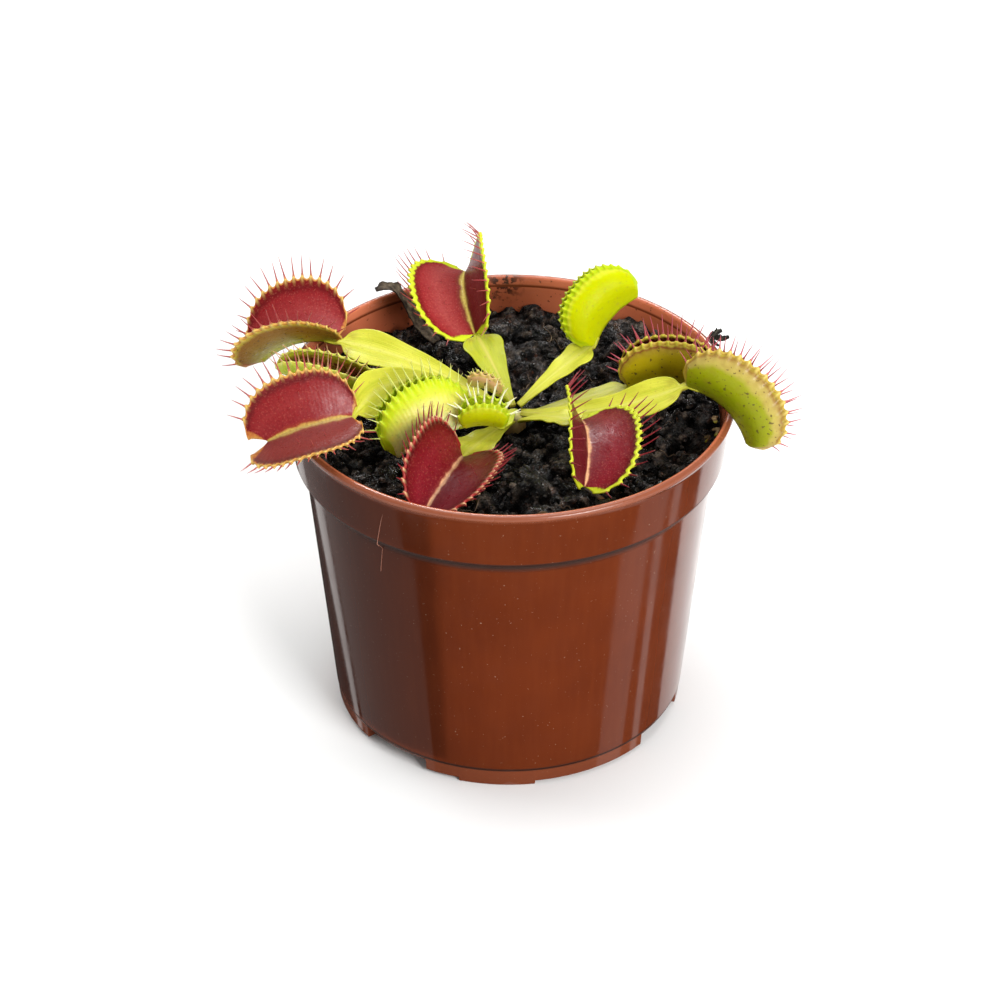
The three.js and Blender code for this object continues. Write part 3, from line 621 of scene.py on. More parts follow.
def fibre_finish():
    f = Finish("root_fibres", 0.7, specular=0.3)
    return f.done(f.ramp(f.noise(2, 2), (0.35, 44, 34, 26), (0.6, 104, 84, 64), (0.75, 150, 130, 106)))


def make_peat():
    finish = peat_finish()
    weld(add_piece("peat_plug", peat_parts(), finish, "soil").data)
    add_piece("peat_crumbs", crumb_parts(count=1800, low=0.2, high=1.0, seed=21), finish, "soil")
    add_piece("peat_clods", clod_parts(count=96, seed=5), finish, "soil")
    add_piece("peat_fibres", fibre_parts(count=45, seed=8), fibre_finish(), "soil")


# ---------------------------------------------------------------- crown

CROWN_RADIUS = 2.5 * MM
CROWN_BOTTOM = 50 * MM
CROWN_TOP = 66 * MM


def crown_parts():
    """The rhizome: a profile turned about its own axis and pushed in and out by noise."""
    r, low, top = CROWN_RADIUS, CROWN_BOTTOM, CROWN_TOP
    radius, z = rounded([
        [0, low], [0.5 * r, low + 0.6 * MM], [0.85 * r, low + 3 * MM], [0.97 * r, low + 8 * MM],
        [0.97 * r, top - 2.4 * MM], [0.8 * r, top - 0.8 * MM], [0.4 * r, top], [0, top],
    ], 0.4 * MM, 6).T
    place = polar(radius, around(48)[:, None], z)
    bulge = 0.94 + 0.08 * noise(place, 1.4 * MM, 3, 3.1)
    place[..., :2] = place[..., :2] * bulge[..., None] + CROWN
    return Parts().shell(place, None, (True, False))


def crown_finish():
    """Pale cream bulb, brown and peaty towards its foot."""
    f = Finish("rhizome", 0.5, specular=0.4, subsurface=0.2)
    up = f.spread(f.axis("Z"), SOIL_LEVEL - 3 * MM, CROWN_TOP)
    colour = f.ramp(up, (0.0, 60, 42, 28), (0.6, 140, 116, 66), (1.0, 200, 192, 118))
    stain = f.patches(0.8, 4, 0.55, 0.7, 0, 0.6)
    return f.done(f.mix(stain, colour, (96, 66, 40)), f.noise(0.5, 4), 0.08)


# ---------------------------------------------------------------- traps

EDGE_SPAN = 4 * MM
OVERHANG = 0.07
VEINS_PER_TOOTH = 1.5
BRISTLE_SEED = 40


class Trap:
    """The arched midrib of one trap and its two lobes. Lengths are given in millimetres and
    angles in degrees; `opening` is each lobe's angle from the mouth's axis at the midrib and at
    the margin. `right` and `left` hold what differs on one lobe, seen from the base with the
    mouth up: its width, opening, lean, or overhang past the midrib's tip as a share of length.
    `ribs` is the veins' height, `cushion` how far the outer face stands out inside the margin,
    `hair` a bristle's radius and `bite` the share of a full tooth's depth."""

    def __init__(self, base, heading, pitch, roll, length, width, arch, opening, teeth, bristle,
                 lean, right=None, left=None, ribs=0.006, cushion=0.0, hair=0.17, bite=1.0):
        def lobe(width=width, opening=opening, lean=lean, overhang=OVERHANG):
            return np.array([width, *opening, lean, overhang])
        self.right, self.left = lobe(**(right or {})), lobe(**(left or {}))
        heading, pitch, roll, self.arch = np.radians([heading, pitch, roll, arch])
        self.base = np.array(base) * MM
        self.chord = polar(np.cos(pitch), heading, np.sin(pitch))
        sideways = unit(np.cross(UP, self.chord))
        upright = np.cross(self.chord, sideways)
        self.mouth = upright * np.cos(roll) + sideways * np.sin(roll)
        self.length, self.bristle, self.hair = length * MM, bristle * MM, hair * MM
        self.ribs, self.cushion, self.teeth = ribs * MM, cushion * MM, teeth
        self.tooth_depth = bite * (0.3 + 0.012 * max(self.right[0], self.left[0])) * MM

    def midrib(self, u):
        """An arc of radius R = length/arch: place = base + R (sin b + sin(arch/2)) chord +
        R (cos b - cos(arch/2)) mouth, with b = arch (u - 1/2); tangent, normal, across follow."""
        bend = (self.arch * (np.asarray(u) - 0.5))[..., None]
        radius, half = self.length / self.arch, self.arch / 2
        place = (self.base + radius * (np.sin(bend) + np.sin(half)) * self.chord
                 + radius * (np.cos(bend) - np.cos(half)) * self.mouth)
        tangent = np.cos(bend) * self.chord - np.sin(bend) * self.mouth
        normal = np.cos(bend) * self.mouth + np.sin(bend) * self.chord
        return place, tangent, normal, np.cross(tangent, normal)

    def of_lobe(self, side):
        """Width, first and last opening, lean and overhang where side is 1, right, or -1, left."""
        return np.moveaxis(np.where(np.asarray(side)[..., None] > 0, self.right, self.left), -1, 0)

    def width_at(self, side, u):
        """The lobe's width times 0.22 + 0.78 (1 - |2u - 1|^2.6)^0.6, a rounded kidney."""
        share = 0.22 + 0.78 * np.maximum(1 - np.abs(2 * u - 1) ** 2.6, 0) ** 0.6
        return self.of_lobe(side)[0] * MM * share

    def overhang_at(self, side, u):
        return np.where(u > 0.5, self.of_lobe(side)[4], OVERHANG) * self.length * (2 * u - 1)

    def lobe(self, side, u, v, reach=0.0):
        """A lobe turns evenly from opening[0] to opening[1]: with a = opening[0] + turn v and
        width w, rise = w (sin a - sin a0)/turn and spread = w (cos a0 - cos a)/turn, plus a
        flare along the midrib. Gives the place and the direction into the mouth."""
        place, tangent, normal, across = self.midrib(u)
        first, last = np.radians(self.of_lobe(side)[1:3])
        turn = last - first
        angle = first + turn * v
        width = self.width_at(side, u) + reach
        rise = width * (np.sin(angle) - np.sin(first)) / turn
        spread = width * (np.cos(first) - np.cos(angle)) / turn
        flare = self.overhang_at(side, u) * np.abs(v) ** 1.4
        side = np.asarray(side)[..., None]
        inward = np.sin(angle)[..., None] * normal - side * np.cos(angle)[..., None] * across
        where = place + rise[..., None] * normal + side * spread[..., None] * across
        return where + flare[..., None] * tangent, inward


def first_tooth(side):
    """The first tooth's place in steps between teeth; it differs so that the lobes interlock."""
    return np.where(side > 0, 0.3, 0.7)


def trap_parts(trap, seed):
    """Both lobes as one closed skin over (u, loop). The loop runs across the inner face from one
    margin through the midrib to the other, round that margin, and back over the outer face. The
    margin's reach is a row of bumps 2 exp(-(d/0.24)^2) - 1, d teeth away from a tooth, low
    ripples run from the midrib to the margin as veins, and the outer face may be cushioned."""
    t = np.linspace(0, 1, 10 * trap.teeth + 1)
    u = t - 0.55 * np.sin(2 * np.pi * t) / (2 * np.pi)
    steps = np.concatenate([np.linspace(0, 0.8, 12) ** 1.15, [0.86, 0.91, 0.95, 0.98, 1.0]])
    face_v = np.concatenate([-steps[:0:-1], steps])
    loop_v = np.concatenate([face_v, [1.0], face_v[::-1], [-1.0]])
    face = np.concatenate([np.ones(len(face_v)), [0.0], -np.ones(len(face_v)), [0.0]])
    u, v = np.meshgrid(u, loop_v, indexing="ij")
    right = v > 0
    side = np.where(v < 0, -1.0, 1.0)
    v = np.abs(v)
    away = np.abs((u * trap.teeth - first_tooth(side) + 0.5) % 1 - 0.5)
    scallop = 2 * bell(away, 0.24) - 1
    reach = trap.tooth_depth * scallop * smoothstep(0.8, 1.0, v) + 0.22 * MM * (face == 0)
    place, inward = trap.lobe(side, u, v, reach)
    wide = trap.width_at(side, u)
    near = bell(v * wide, 0.8 * MM)[..., None]
    inward = unit(inward * (1 - near) + trap.midrib(u)[2] * near)
    veins = np.sin(2 * np.pi * VEINS_PER_TOOTH * trap.teeth * (u + 0.12 * (u - 0.5) * v))
    veins *= smoothstep(0.12, 0.35, v) * (1 - smoothstep(0.8, 0.93, v))
    swell = noise(place + seed, 3.5 * MM, 2) - 0.5
    bead = 0.1 * MM * np.maximum(scallop, 0) * smoothstep(0.84, 0.96, v)
    half = 0.27 * MM - 0.06 * MM * smoothstep(0.2, 0.9, v) + 0.05 * MM * smoothstep(0.86, 0.97, v) + bead
    pad = trap.cushion * smoothstep(0.2, 0.5, v) * (1 - smoothstep(0.8, 0.9, v)) * (face < 0)
    keel = np.where(face > 0, 0.12 * MM, 0.52 * MM) * bell(v * wide, 0.62 * MM)
    ends = smoothstep(-0.004, 0.03, u) * smoothstep(-0.004, 0.03, 1 - u)
    lift = face * (half + pad * ends + keel * (0.35 + 0.65 * ends)) + trap.ribs * veins + 0.2 * MM * swell
    to_end = np.minimum(u, 1 - u) * trap.length / smoothstep(0.1, 0.7, v + 0.001) + 0.1 * MM
    to_margin = (1 - v) * np.hypot(wide, trap.overhang_at(side, u))
    return Parts().shell(
        place + lift[..., None] * inward, "ladder", across=v, along=u, inner=(face + 1) / 2, lobe=right,
        edge=np.clip(np.minimum(to_margin, to_end) / EDGE_SPAN, 0, 1),
        tooth=np.maximum(scallop, 0) * smoothstep(0.88, 1.0, v))


def spikes(parts, foot, direction, bend, length, level, wide, thin, sides, rings):
    """Tapered spikes: at share s each stands at foot + length (s direction + s^2 bend), with a
    round section of radius thin (1 - 0.78 s^1.6) that widens to `wide` along `level` at the
    foot, as exp(-(s/0.12)^2)."""
    s = np.linspace(0, 1, rings)[:, None]
    centre = foot[:, None] + length[:, None, None] * (s * direction[:, None] + s * s * bend[:, None])
    heading = unit(direction[:, None] + 2 * s * bend[:, None])
    first = unit(level[:, None] - np.sum(level[:, None] * heading, -1, keepdims=True) * heading)
    second = np.cross(heading, first)
    b = (thin * (1 - 0.78 * s ** 1.6))[..., None]
    a = b + ((wide - thin) * bell(s, 0.12))[..., None]
    turn = around(sides)[:, None]
    rim = a * np.cos(turn) * first[:, :, None] + b * np.sin(turn) * second[:, :, None]
    for spike in centre[:, :, None] + rim:
        parts.shell(spike, along=s)


def bristle_parts(trap, seed):
    """One bristle on every tooth, leaning `lean` outwards from the mouth's axis and fanned
    towards the ends, each a little different in length and direction."""
    rng = np.random.default_rng(seed)
    parts = Parts()
    for side in (1, -1):
        u = (np.arange(trap.teeth) + first_tooth(side)) / trap.teeth
        place, inward = trap.lobe(side, u, np.ones_like(u), trap.tooth_depth - 0.25 * MM)
        _, tangent, normal, across = trap.midrib(u)
        fan = (0.9 * (2 * u - 1) ** 3 + 0.25 * (2 * u - 1))[:, None]
        lean = np.radians(trap.of_lobe(side)[3])
        direction = unit(np.cos(lean) * normal + side * np.sin(lean) * across + fan * tangent)
        direction = unit(direction + 0.07 * rng.normal(size=direction.shape))
        length = trap.bristle * (0.8 + 0.2 * np.cos(np.pi * (2 * u - 1))) * (1 - 0.1 * rng.random(len(u)))
        bend = inward * (0.05 + 0.05 * rng.random((len(u), 1)))
        spikes(parts, place, direction, bend, np.maximum(length, 0.3 * MM), tangent,
               wide=0.36 * MM, thin=trap.hair, sides=6, rings=6)
    return parts


def trigger_parts(trap):
    """Three fine trigger hairs standing in a triangle inside each lobe."""
    parts = Parts()
    u, v = np.array([0.36, 0.62, 0.5]), np.array([0.42, 0.42, 0.64])
    tangent = trap.midrib(u)[1]
    for side in (1, -1):
        place, inward = trap.lobe(side, u, v)
        spikes(parts, place + 0.15 * MM * inward, inward, 0.08 * tangent, np.full(3, 1.5 * MM),
               tangent, wide=0.1 * MM, thin=0.07 * MM, sides=5, rings=4)
    return parts


# ---------------------------------------------------------------- stalks

NECK_SINK = 0.195 * MM
WING_LIFT = np.tan(np.radians(12))


def stalk_parts(trap, turn, rise, bow, sway, width, roll, taper=1.25):
    """Stations of the winged stalk: a quadratic curve from the crown to the trap's base, whose
    width opens as (s/0.78)^taper, rounds off past 0.8 and draws in to a neck. Across it, x runs
    to half the width, the wings lift as tan(12 degrees) (sqrt(x^2 + e^2) - e), thickness falls
    from rib to rim, and the edges wave gently."""
    foot = polar(CROWN_RADIUS - 1.2 * MM, np.radians(turn), SOIL_LEVEL + rise * MM) + [*CROWN, 0]
    (end, inside), (_, inside_tangent), normals, _ = trap.midrib([0, 0.14])
    end, finish = np.array([end, inside]) - NECK_SINK * normals
    left = unit(np.cross(UP, unit(end - foot)))
    middle = (foot + end) / 2 + bow * MM * UP + sway * MM * left
    control = 2 * middle - 0.5 * (foot + end)
    t = np.linspace(0, 1, 84)
    late = np.clip((t - 0.7) / 0.3, 0, 1)
    s = np.where(t < 0.7, t, 0.7 + 0.3 * (1 - (1 - late) ** 1.15))[:, None]
    path = (1 - s) ** 2 * foot + 2 * s * (1 - s) * control + s * s * end
    tangent = unit(2 * (1 - s) * (control - foot) + 2 * s * (end - control))
    path = np.concatenate([path, [(path[-1] + finish) / 2, finish]])
    tangent = np.concatenate([tangent, [unit(tangent[-1] + inside_tangent), inside_tangent]])
    wing = 1.4 + (width - 1.4) * np.minimum(s / 0.78, 1) ** taper
    shoulder = np.sqrt(np.maximum(0, 1 - np.maximum(0, (s - 0.8) / 0.16) ** 2.4))
    wide = np.concatenate([np.maximum(1.5, wing * shoulder) * MM, [[1.3 * MM], [1.1 * MM]]])
    s = np.concatenate([s, [[1.03], [1.06]]])
    across, out = cross_axes(tangent, roll)
    top, face = blade_section(17)
    x = 0.5 * wide * top
    ease = 0.5 * MM
    lift = WING_LIFT * (1 - smoothstep(0.97, 1.03, s)) * (np.sqrt(x ** 2 + ease ** 2) - ease)
    free = smoothstep(1.2 * MM, 3 * MM, np.abs(x))
    lift = lift + 0.22 * MM * free * np.sin(22 * s + 1.7 * np.sign(x) + turn)
    half = (0.2 * MM + 0.4 * MM * bell(x, 0.62 * MM)) * np.where(face > 0, 0.55, 1.0)
    return Parts().shell(beside(path, x, across, lift + face * half, out), across=np.abs(top), along=s)


# ---------------------------------------------------------------- leaf finishes


def trap_finish(name, teeth, inner, outer, margin, tooth, speckle, left_painted_shade=(0.0, 120, 60, 60),
                right_painted_shade=(0.0, 120, 60, 60), gloss=0.24, depth=0.06):
    """Skin of a trap. Each face has a ramp of colours from midrib (0) to margin (1) and the
    margin a ramp over the last 4 mm (0 at the very edge); faint veins run out to the margin,
    each tooth is tinted, the outer face is speckled, the inner face has pale flecks, partly its own
    speckle and partly painted highlights, and the inner face of the left or right lobe may be
    darkened by painted shade. A speckle or painted shade is given as its share and its colour."""
    f = Finish(name, 0.36, specular=gloss, subsurface=depth)
    across, along, right = f.attribute("across"), f.attribute("along"), f.attribute("lobe")
    wander = across + f.patches(2.4, 3, 0.3, 0.7, -0.03, 0.03)
    vein = f.math("SINE", along * (2 * np.pi * VEINS_PER_TOOTH * teeth))
    grain = f.noise(0.55, 4)
    mottle = f.spread(vein, 0.2, 1.0, 0.0, 0.1) + f.spread(grain, 0.5, 0.7, 0.0, 0.3)
    red = f.mix(mottle, f.ramp(wander, *inner), inner[-2][1:])
    # Pale flecks on the inner face: partly its own speckle, partly painted highlights of a frosted sheen.
    red = f.mix(f.patches(0.34, 2, 0.56, 0.7, 0.0, 0.2), red, (206, 116, 96))
    # Painted shade: the inner red of one lobe may be darkened towards a shaded colour.
    share = f.spread(right, 0.0, 1.0, left_painted_shade[0], right_painted_shade[0])
    red = f.mix(share, red, f.mix(right, left_painted_shade[1:], right_painted_shade[1:]))
    skin = f.mix(f.patches(1.5, 4, 0.5, 0.75, 0.0, 0.3), f.ramp(wander, *outer), outer[-2][1:])
    skin = f.mix(f.patches(0.75, 1, 0.665, 0.7) * speckle[0], skin, speckle[1:])
    edge = f.attribute("edge") + f.spread(grain, 0.3, 0.7, -0.025, 0.025)
    reach = margin[-1][0]
    colour = f.mix(f.attribute("inner"), skin, red)
    colour = f.mix(f.spread(edge, reach, reach * 0.72), colour, f.ramp(edge, *margin))
    colour = f.mix(f.attribute("tooth") * 0.85, colour, tooth)
    return f.done(colour, grain * 0.8 + f.noise(1.6, 2), 0.06, f.patches(1.2, 3, 0.3, 0.7, 0.26, 0.44))


def stalk_finish(name, light, dark, rib, stain, stain_share):
    """Winged stalk: streaked along its length, with a paler rib, a darker rim, and brown stains
    near the crown and at the neck."""
    f = Finish(name, 0.42, specular=0.35, subsurface=0.1)
    along, across = f.attribute("along"), f.attribute("across")
    colour = f.mix(f.spread(f.streaks(along, across, 3, 9), 0.25, 0.6), dark, light)
    colour = f.mix(f.patches(5, 3, 0.45, 0.75, 0.0, 0.35), colour, dark)
    colour = f.mix(f.spread(across, 0.16, 0.02, 0.0, 0.7), colour, rib)
    colour = f.mix(f.spread(across, 0.9, 1.0, 0.0, 0.4), colour, dark)
    ends = f.math("MAXIMUM", f.spread(along, 0.16, 0.0), f.spread(along, 0.86, 1.0))
    ends = ends * f.spread(f.streaks(along, across, 16, 4, 4), 0.46, 0.62) * stain_share
    spots = f.patches(0.5, 3, 0.64, 0.7) * (0.35 * stain_share)
    colour = f.mix(f.math("MAXIMUM", ends, spots), colour, stain)
    return f.done(colour, f.streaks(along, across, 5, 26, 2) + f.noise(0.9, 3), 0.06)


def bristle_finish(name, foot, middle, tip):
    f = Finish(name, 0.4, specular=0.4, subsurface=0.15)
    colour = f.ramp(f.attribute("along"), (0.06, *foot), (0.2, *middle), (0.8, *middle), (1.0, *tip))
    return f.done(f.mix(f.patches(1.5, 2, 0.3, 0.7, 0.0, 0.25), colour, foot), f.noise(0.3, 2), 0.02)


# Inner faces: the pale rib line, then the skin out to the margin.
RED_INNER = ((0.02, 204, 176, 84), (0.08, 140, 50, 34), (0.15, 130, 30, 34), (0.5, 138, 37, 38),
             (0.76, 128, 22, 26), (0.86, 94, 4, 8), (1.0, 118, 14, 16))
PINK_INNER = ((0.035, 196, 176, 84), (0.1, 120, 50, 36), (0.17, 132, 38, 38), (0.5, 150, 60, 58),
              (0.78, 140, 38, 40), (0.9, 104, 10, 14), (1.0, 120, 18, 20))
MAROON_INNER = ((0.02, 216, 164, 120), (0.07, 116, 40, 36), (0.12, 104, 14, 24), (0.5, 120, 20, 32),
                (0.8, 104, 12, 20), (0.92, 76, 6, 12), (1.0, 104, 16, 20))
GREEN_INNER = ((0.0, 196, 204, 50), (0.1, 176, 194, 24), (0.5, 168, 188, 20), (1.0, 188, 206, 36))
# Dark maroon near the midrib, partly the mouth's own red and partly painted shade inside the nearly shut
# trap, then green out to the margin.
MOUTH_SHADE_INNER = ((0.0, 44, 14, 12), (0.55, 84, 22, 18), (0.68, 140, 110, 30), (0.8, 204, 212, 50),
                    (1.0, 212, 218, 70))
# Outer faces, from the keel to the margin.
PALE_OUTER = ((0.0, 206, 212, 80), (0.3, 190, 204, 50), (0.8, 184, 200, 40), (1.0, 200, 210, 60))
BRONZE_OUTER = ((0.0, 176, 176, 34), (0.3, 152, 134, 26), (0.6, 140, 104, 28), (0.84, 132, 90, 32),
                (1.0, 196, 176, 60))
OLIVE_OUTER = ((0.0, 196, 188, 26), (0.35, 192, 174, 10), (0.7, 188, 166, 20), (0.85, 166, 140, 40),
               (0.9, 126, 60, 34), (0.95, 184, 166, 56), (1.0, 190, 176, 56))
GREEN_OUTER = ((0.0, 146, 152, 22), (0.35, 128, 138, 4), (0.68, 146, 150, 14), (0.76, 174, 158, 74),
               (0.86, 168, 146, 74), (0.91, 140, 104, 44), (1.0, 176, 166, 44))
LIME_OUTER = ((0.0, 176, 184, 14), (0.3, 180, 186, 2), (0.78, 184, 190, 2), (0.86, 194, 198, 44),
              (0.92, 156, 174, 6), (1.0, 174, 188, 16))
# Its pale keel is partly the lobe's own cream colour and partly painted light on the shaded underside.
CREAM_OUTER_PAINTED_LIGHT = ((0.0, 248, 250, 190), (0.25, 244, 242, 172), (0.6, 210, 204, 88), (0.84, 184, 198, 20),
               (1.0, 178, 198, 16))
TAN_OUTER = ((0.0, 206, 206, 96), (0.4, 206, 186, 104), (0.7, 204, 160, 112), (1.0, 206, 170, 124))
# Margins: position is the distance from the edge in parts of 4 mm.
THIN_YELLOW = ((0.0, 196, 150, 70), (0.05, 180, 112, 52), (0.11, 126, 22, 22))
THIN_OLIVE = ((0.0, 186, 160, 60), (0.08, 170, 140, 44), (0.15, 128, 70, 36))
THIN_PINK = ((0.0, 150, 50, 44), (0.07, 132, 24, 30), (0.15, 96, 10, 18))
TAN_EDGE = ((0.0, 206, 170, 112), (0.07, 196, 160, 96), (0.16, 176, 168, 60))
WIDE_LIME = ((0.0, 196, 208, 44), (0.19, 182, 196, 30), (0.27, 120, 60, 34))
SLIM_LIME = ((0.0, 190, 200, 44), (0.13, 172, 182, 30), (0.2, 110, 44, 30))
PALE_EDGE = ((0.0, 206, 206, 90), (0.08, 206, 206, 70), (0.18, 200, 208, 60))
GREEN_EDGE = ((0.0, 180, 196, 30), (0.1, 168, 188, 12), (0.2, 172, 190, 20))
# Teeth, speckles, and the painted shade of single lobes: dark red, and a duller grey-brown.
CREAM_TOOTH = (222, 184, 134)
PALE_TOOTH = (212, 214, 110)
OCHRE_TOOTH = (224, 200, 110)
YELLOW_TOOTH = (204, 204, 64)
GREEN_TOOTH = (190, 202, 50)
BROWN_DOTS = (0.75, 70, 52, 30)
FEW_DOTS = (0.3, 150, 140, 50)
SHADED = (0.5, 60, 14, 20)
GREY_SHADE = (0.45, 96, 62, 54)
# Bristles: foot, middle and tip. Stalks: light, dark, rib and stain, then the stains' share.
RED_BRISTLE = ((206, 138, 96), (152, 46, 58), (116, 30, 44))
ROSE_BRISTLE = ((200, 124, 104), (164, 60, 80), (136, 50, 70))
DARK_BRISTLE = ((170, 80, 70), (120, 18, 38), (92, 14, 32))
GREEN_BRISTLE = ((190, 204, 60), (206, 210, 116), (196, 170, 120))
WHITE_BRISTLE = ((206, 214, 110), (236, 232, 196), (226, 206, 180))
PALE_BRISTLE = ((206, 190, 120), (206, 150, 120), (186, 110, 100))
YELLOW_STALK = ((204, 202, 62), (182, 186, 44), (212, 208, 98), (128, 96, 40), 0.8)
LIME_STALK = ((194, 200, 56), (172, 186, 38), (206, 206, 92), (130, 110, 44), 0.6)
BROWN_STALK = ((174, 178, 30), (154, 162, 22), (196, 184, 84), (140, 82, 54), 1.0)

# Each leaf: its name; its stalk's turn, rise, bow, sway, width, roll and taper; its trap's base,
# heading, pitch, roll, length, width, arch, opening, teeth, bristle and lean, and what else it
# has; the colours of its two faces, margin, teeth and speckles, and what else its skin has; then
# the colours of its bristles and its stalk.
LEAVES = [
    ("leaf_left_rear", (144, 1, 2.8, 0, 7.6, -34),
     ((-34.8, 15, 74), 175, -20, -6, 17.4, 14, 60, (62, 38), 16, 5.2, 32), dict(left={"overhang": 0.12}),
     (RED_INNER, BRONZE_OUTER, THIN_YELLOW, OCHRE_TOOTH, BROWN_DOTS), {}, RED_BRISTLE, YELLOW_STALK),
    ("leaf_left_front", (203, 1.6, 5, -6.5, 9, -50, 2.3),
     ((-30.5, -17.2, 76.4), 190, -13, 31, 17.2, 11, 44, (67, 45), 16, 5.4, 40),
     dict(right={"overhang": 0.2}, left={"overhang": 0.22}),
     (RED_INNER, BRONZE_OUTER, THIN_YELLOW, OCHRE_TOOTH, BROWN_DOTS), dict(left_painted_shade=GREY_SHADE),
     RED_BRISTLE, YELLOW_STALK),
    ("leaf_left_middle", (186, 0.3, 0, 1, 6, 0),
     ((-24.2, 0, 67.5), 168, 15, 20, 22, 8.4, 34, (60, -32), 15, 4.5, -10), dict(hair=0.13, bite=0.6),
     (MOUTH_SHADE_INNER, PALE_OUTER, PALE_EDGE, PALE_TOOTH, FEW_DOTS), dict(depth=0.3),
     PALE_BRISTLE, YELLOW_STALK),
    ("leaf_centre_green", (250, 2.1, 0.5, 0, 5.5, 0),
     ((-7.9, -12.7, 72.3), 207, -11, -28, 16.2, 13, 25, (65, -42), 15, 5, -16),
     dict(ribs=0.02, cushion=0.15, hair=0.12),
     (GREEN_INNER, CREAM_OUTER_PAINTED_LIGHT, GREEN_EDGE, GREEN_TOOTH, FEW_DOTS), dict(depth=0.4),
     GREEN_BRISTLE, LIME_STALK),
    ("leaf_centre_small", (272, 3.3, 0.5, 0, 3.5, 0),
     ((-1.5, -16.5, 73.9), 184, 4, 0, 7.6, 6, 50, (60, -30), 9, 4.4, 0), dict(hair=0.2),
     (GREEN_INNER, LIME_OUTER, GREEN_EDGE, GREEN_TOOTH, FEW_DOTS), dict(depth=0.3),
     WHITE_BRISTLE, LIME_STALK),
    ("leaf_young", (160, 4, 0.5, 0, 3, 0),
     ((-2.2, 0.6, 70.6), 160, 8, 0, 6, 3.4, 50, (60, -50), 6, 1.6, -10), dict(hair=0.1),
     (GREEN_INNER, TAN_OUTER, TAN_EDGE, PALE_TOOTH, BROWN_DOTS), dict(depth=0.2),
     GREEN_BRISTLE, BROWN_STALK),
    ("leaf_front_left", (256, 0.7, 0.6, 0, 8.4, 0),
     ((-9.1, -19.6, 68.7), 246, -6, 20, 17, 10.8, 42, (59, 36), 16, 4.4, 30),
     dict(ribs=0.0, right={"width": 11.5, "overhang": 0.13, "lean": 26}),
     (MAROON_INNER, OLIVE_OUTER, THIN_PINK, CREAM_TOOTH, BROWN_DOTS), dict(left_painted_shade=SHADED),
     DARK_BRISTLE, YELLOW_STALK),
    ("leaf_front_right", (307, 0.6, 1, 0, 6.5, 0),
     ((14, -10.4, 71), 271, -9, 23, 19.5, 10.8, 60, (57, 37), 15, 5.4, 26),
     dict(ribs=0.0, right={"opening": (54, 31), "lean": -22}),
     (MAROON_INNER, OLIVE_OUTER, SLIM_LIME, YELLOW_TOOTH, FEW_DOTS),
     dict(right_painted_shade=SHADED, gloss=0.15), DARK_BRISTLE, YELLOW_STALK),
    ("leaf_rear_left", (104, 2.6, 0.5, 0, 8.5, 0),
     ((-6.8, 18, 73.7), 96, 10, 28, 20, 11.8, 62, (55, 35), 16, 5, 12),
     dict(ribs=0.0, hair=0.14, bite=0.8, right={"lean": -28}),
     (PINK_INNER, PALE_OUTER, WIDE_LIME, YELLOW_TOOTH, FEW_DOTS),
     dict(right_painted_shade=SHADED, gloss=0.06), RED_BRISTLE, BROWN_STALK),
    ("leaf_rear_right", (44, 3, 0.5, 0, 7, 0),
     ((16.6, 10.8, 75.4), 36, 36, 37, 14.2, 10.8, 44, (58, -39), 17, 0.2, -30),
     dict(ribs=0.0, cushion=0.36, hair=0.26, bite=0.6),
     (GREEN_INNER, LIME_OUTER, GREEN_EDGE, GREEN_TOOTH, FEW_DOTS), dict(gloss=0.04, depth=0.4),
     GREEN_BRISTLE, YELLOW_STALK),
    ("leaf_right_rear", (24, 0.5, 0, 0, 5, 0),
     ((24, 6, 69), -3, 0, 3, 16, 11, 41, (44, -16), 15, 5, 8),
     dict(ribs=0.0, bite=0.6, left={"opening": (40, -38)}),
     (MAROON_INNER, OLIVE_OUTER, THIN_OLIVE, YELLOW_TOOTH, BROWN_DOTS), {}, ROSE_BRISTLE, YELLOW_STALK),
    ("leaf_right_front", (3, 1.9, -2.5, 0, 7.8, 34),
     ((34.9, -6.8, 77.4), -26, -37, 14, 18, 13.6, 64, (64, -36), 16, 4.7, -36),
     dict(ribs=0.0, cushion=0.24, hair=0.14, left={"width": 11.6, "opening": (62, -58), "lean": 4}),
     (MAROON_INNER, GREEN_OUTER, THIN_OLIVE, OCHRE_TOOTH, BROWN_DOTS), {}, ROSE_BRISTLE, YELLOW_STALK),
]


def make_leaf(index, name, stalk, shape, extras, skin, skin_extras, bristle, wing):
    trap = Trap(*shape, **extras)
    hairs = bristle_finish(name + "_hairs", *bristle)
    blade = trap_finish(name + "_skin", trap.teeth, *skin, **skin_extras)
    for kind, parts, finish in (
        ("_trap", trap_parts(trap, index), blade),
        ("_stalk", stalk_parts(trap, *stalk), stalk_finish(name + "_wing", *wing)),
        ("_bristles", bristle_parts(trap, BRISTLE_SEED + index), hairs),
        ("_triggers", trigger_parts(trap), hairs),
    ):
        add_piece(name + kind, parts, finish, name)


# ---------------------------------------------------------------- fallen pieces


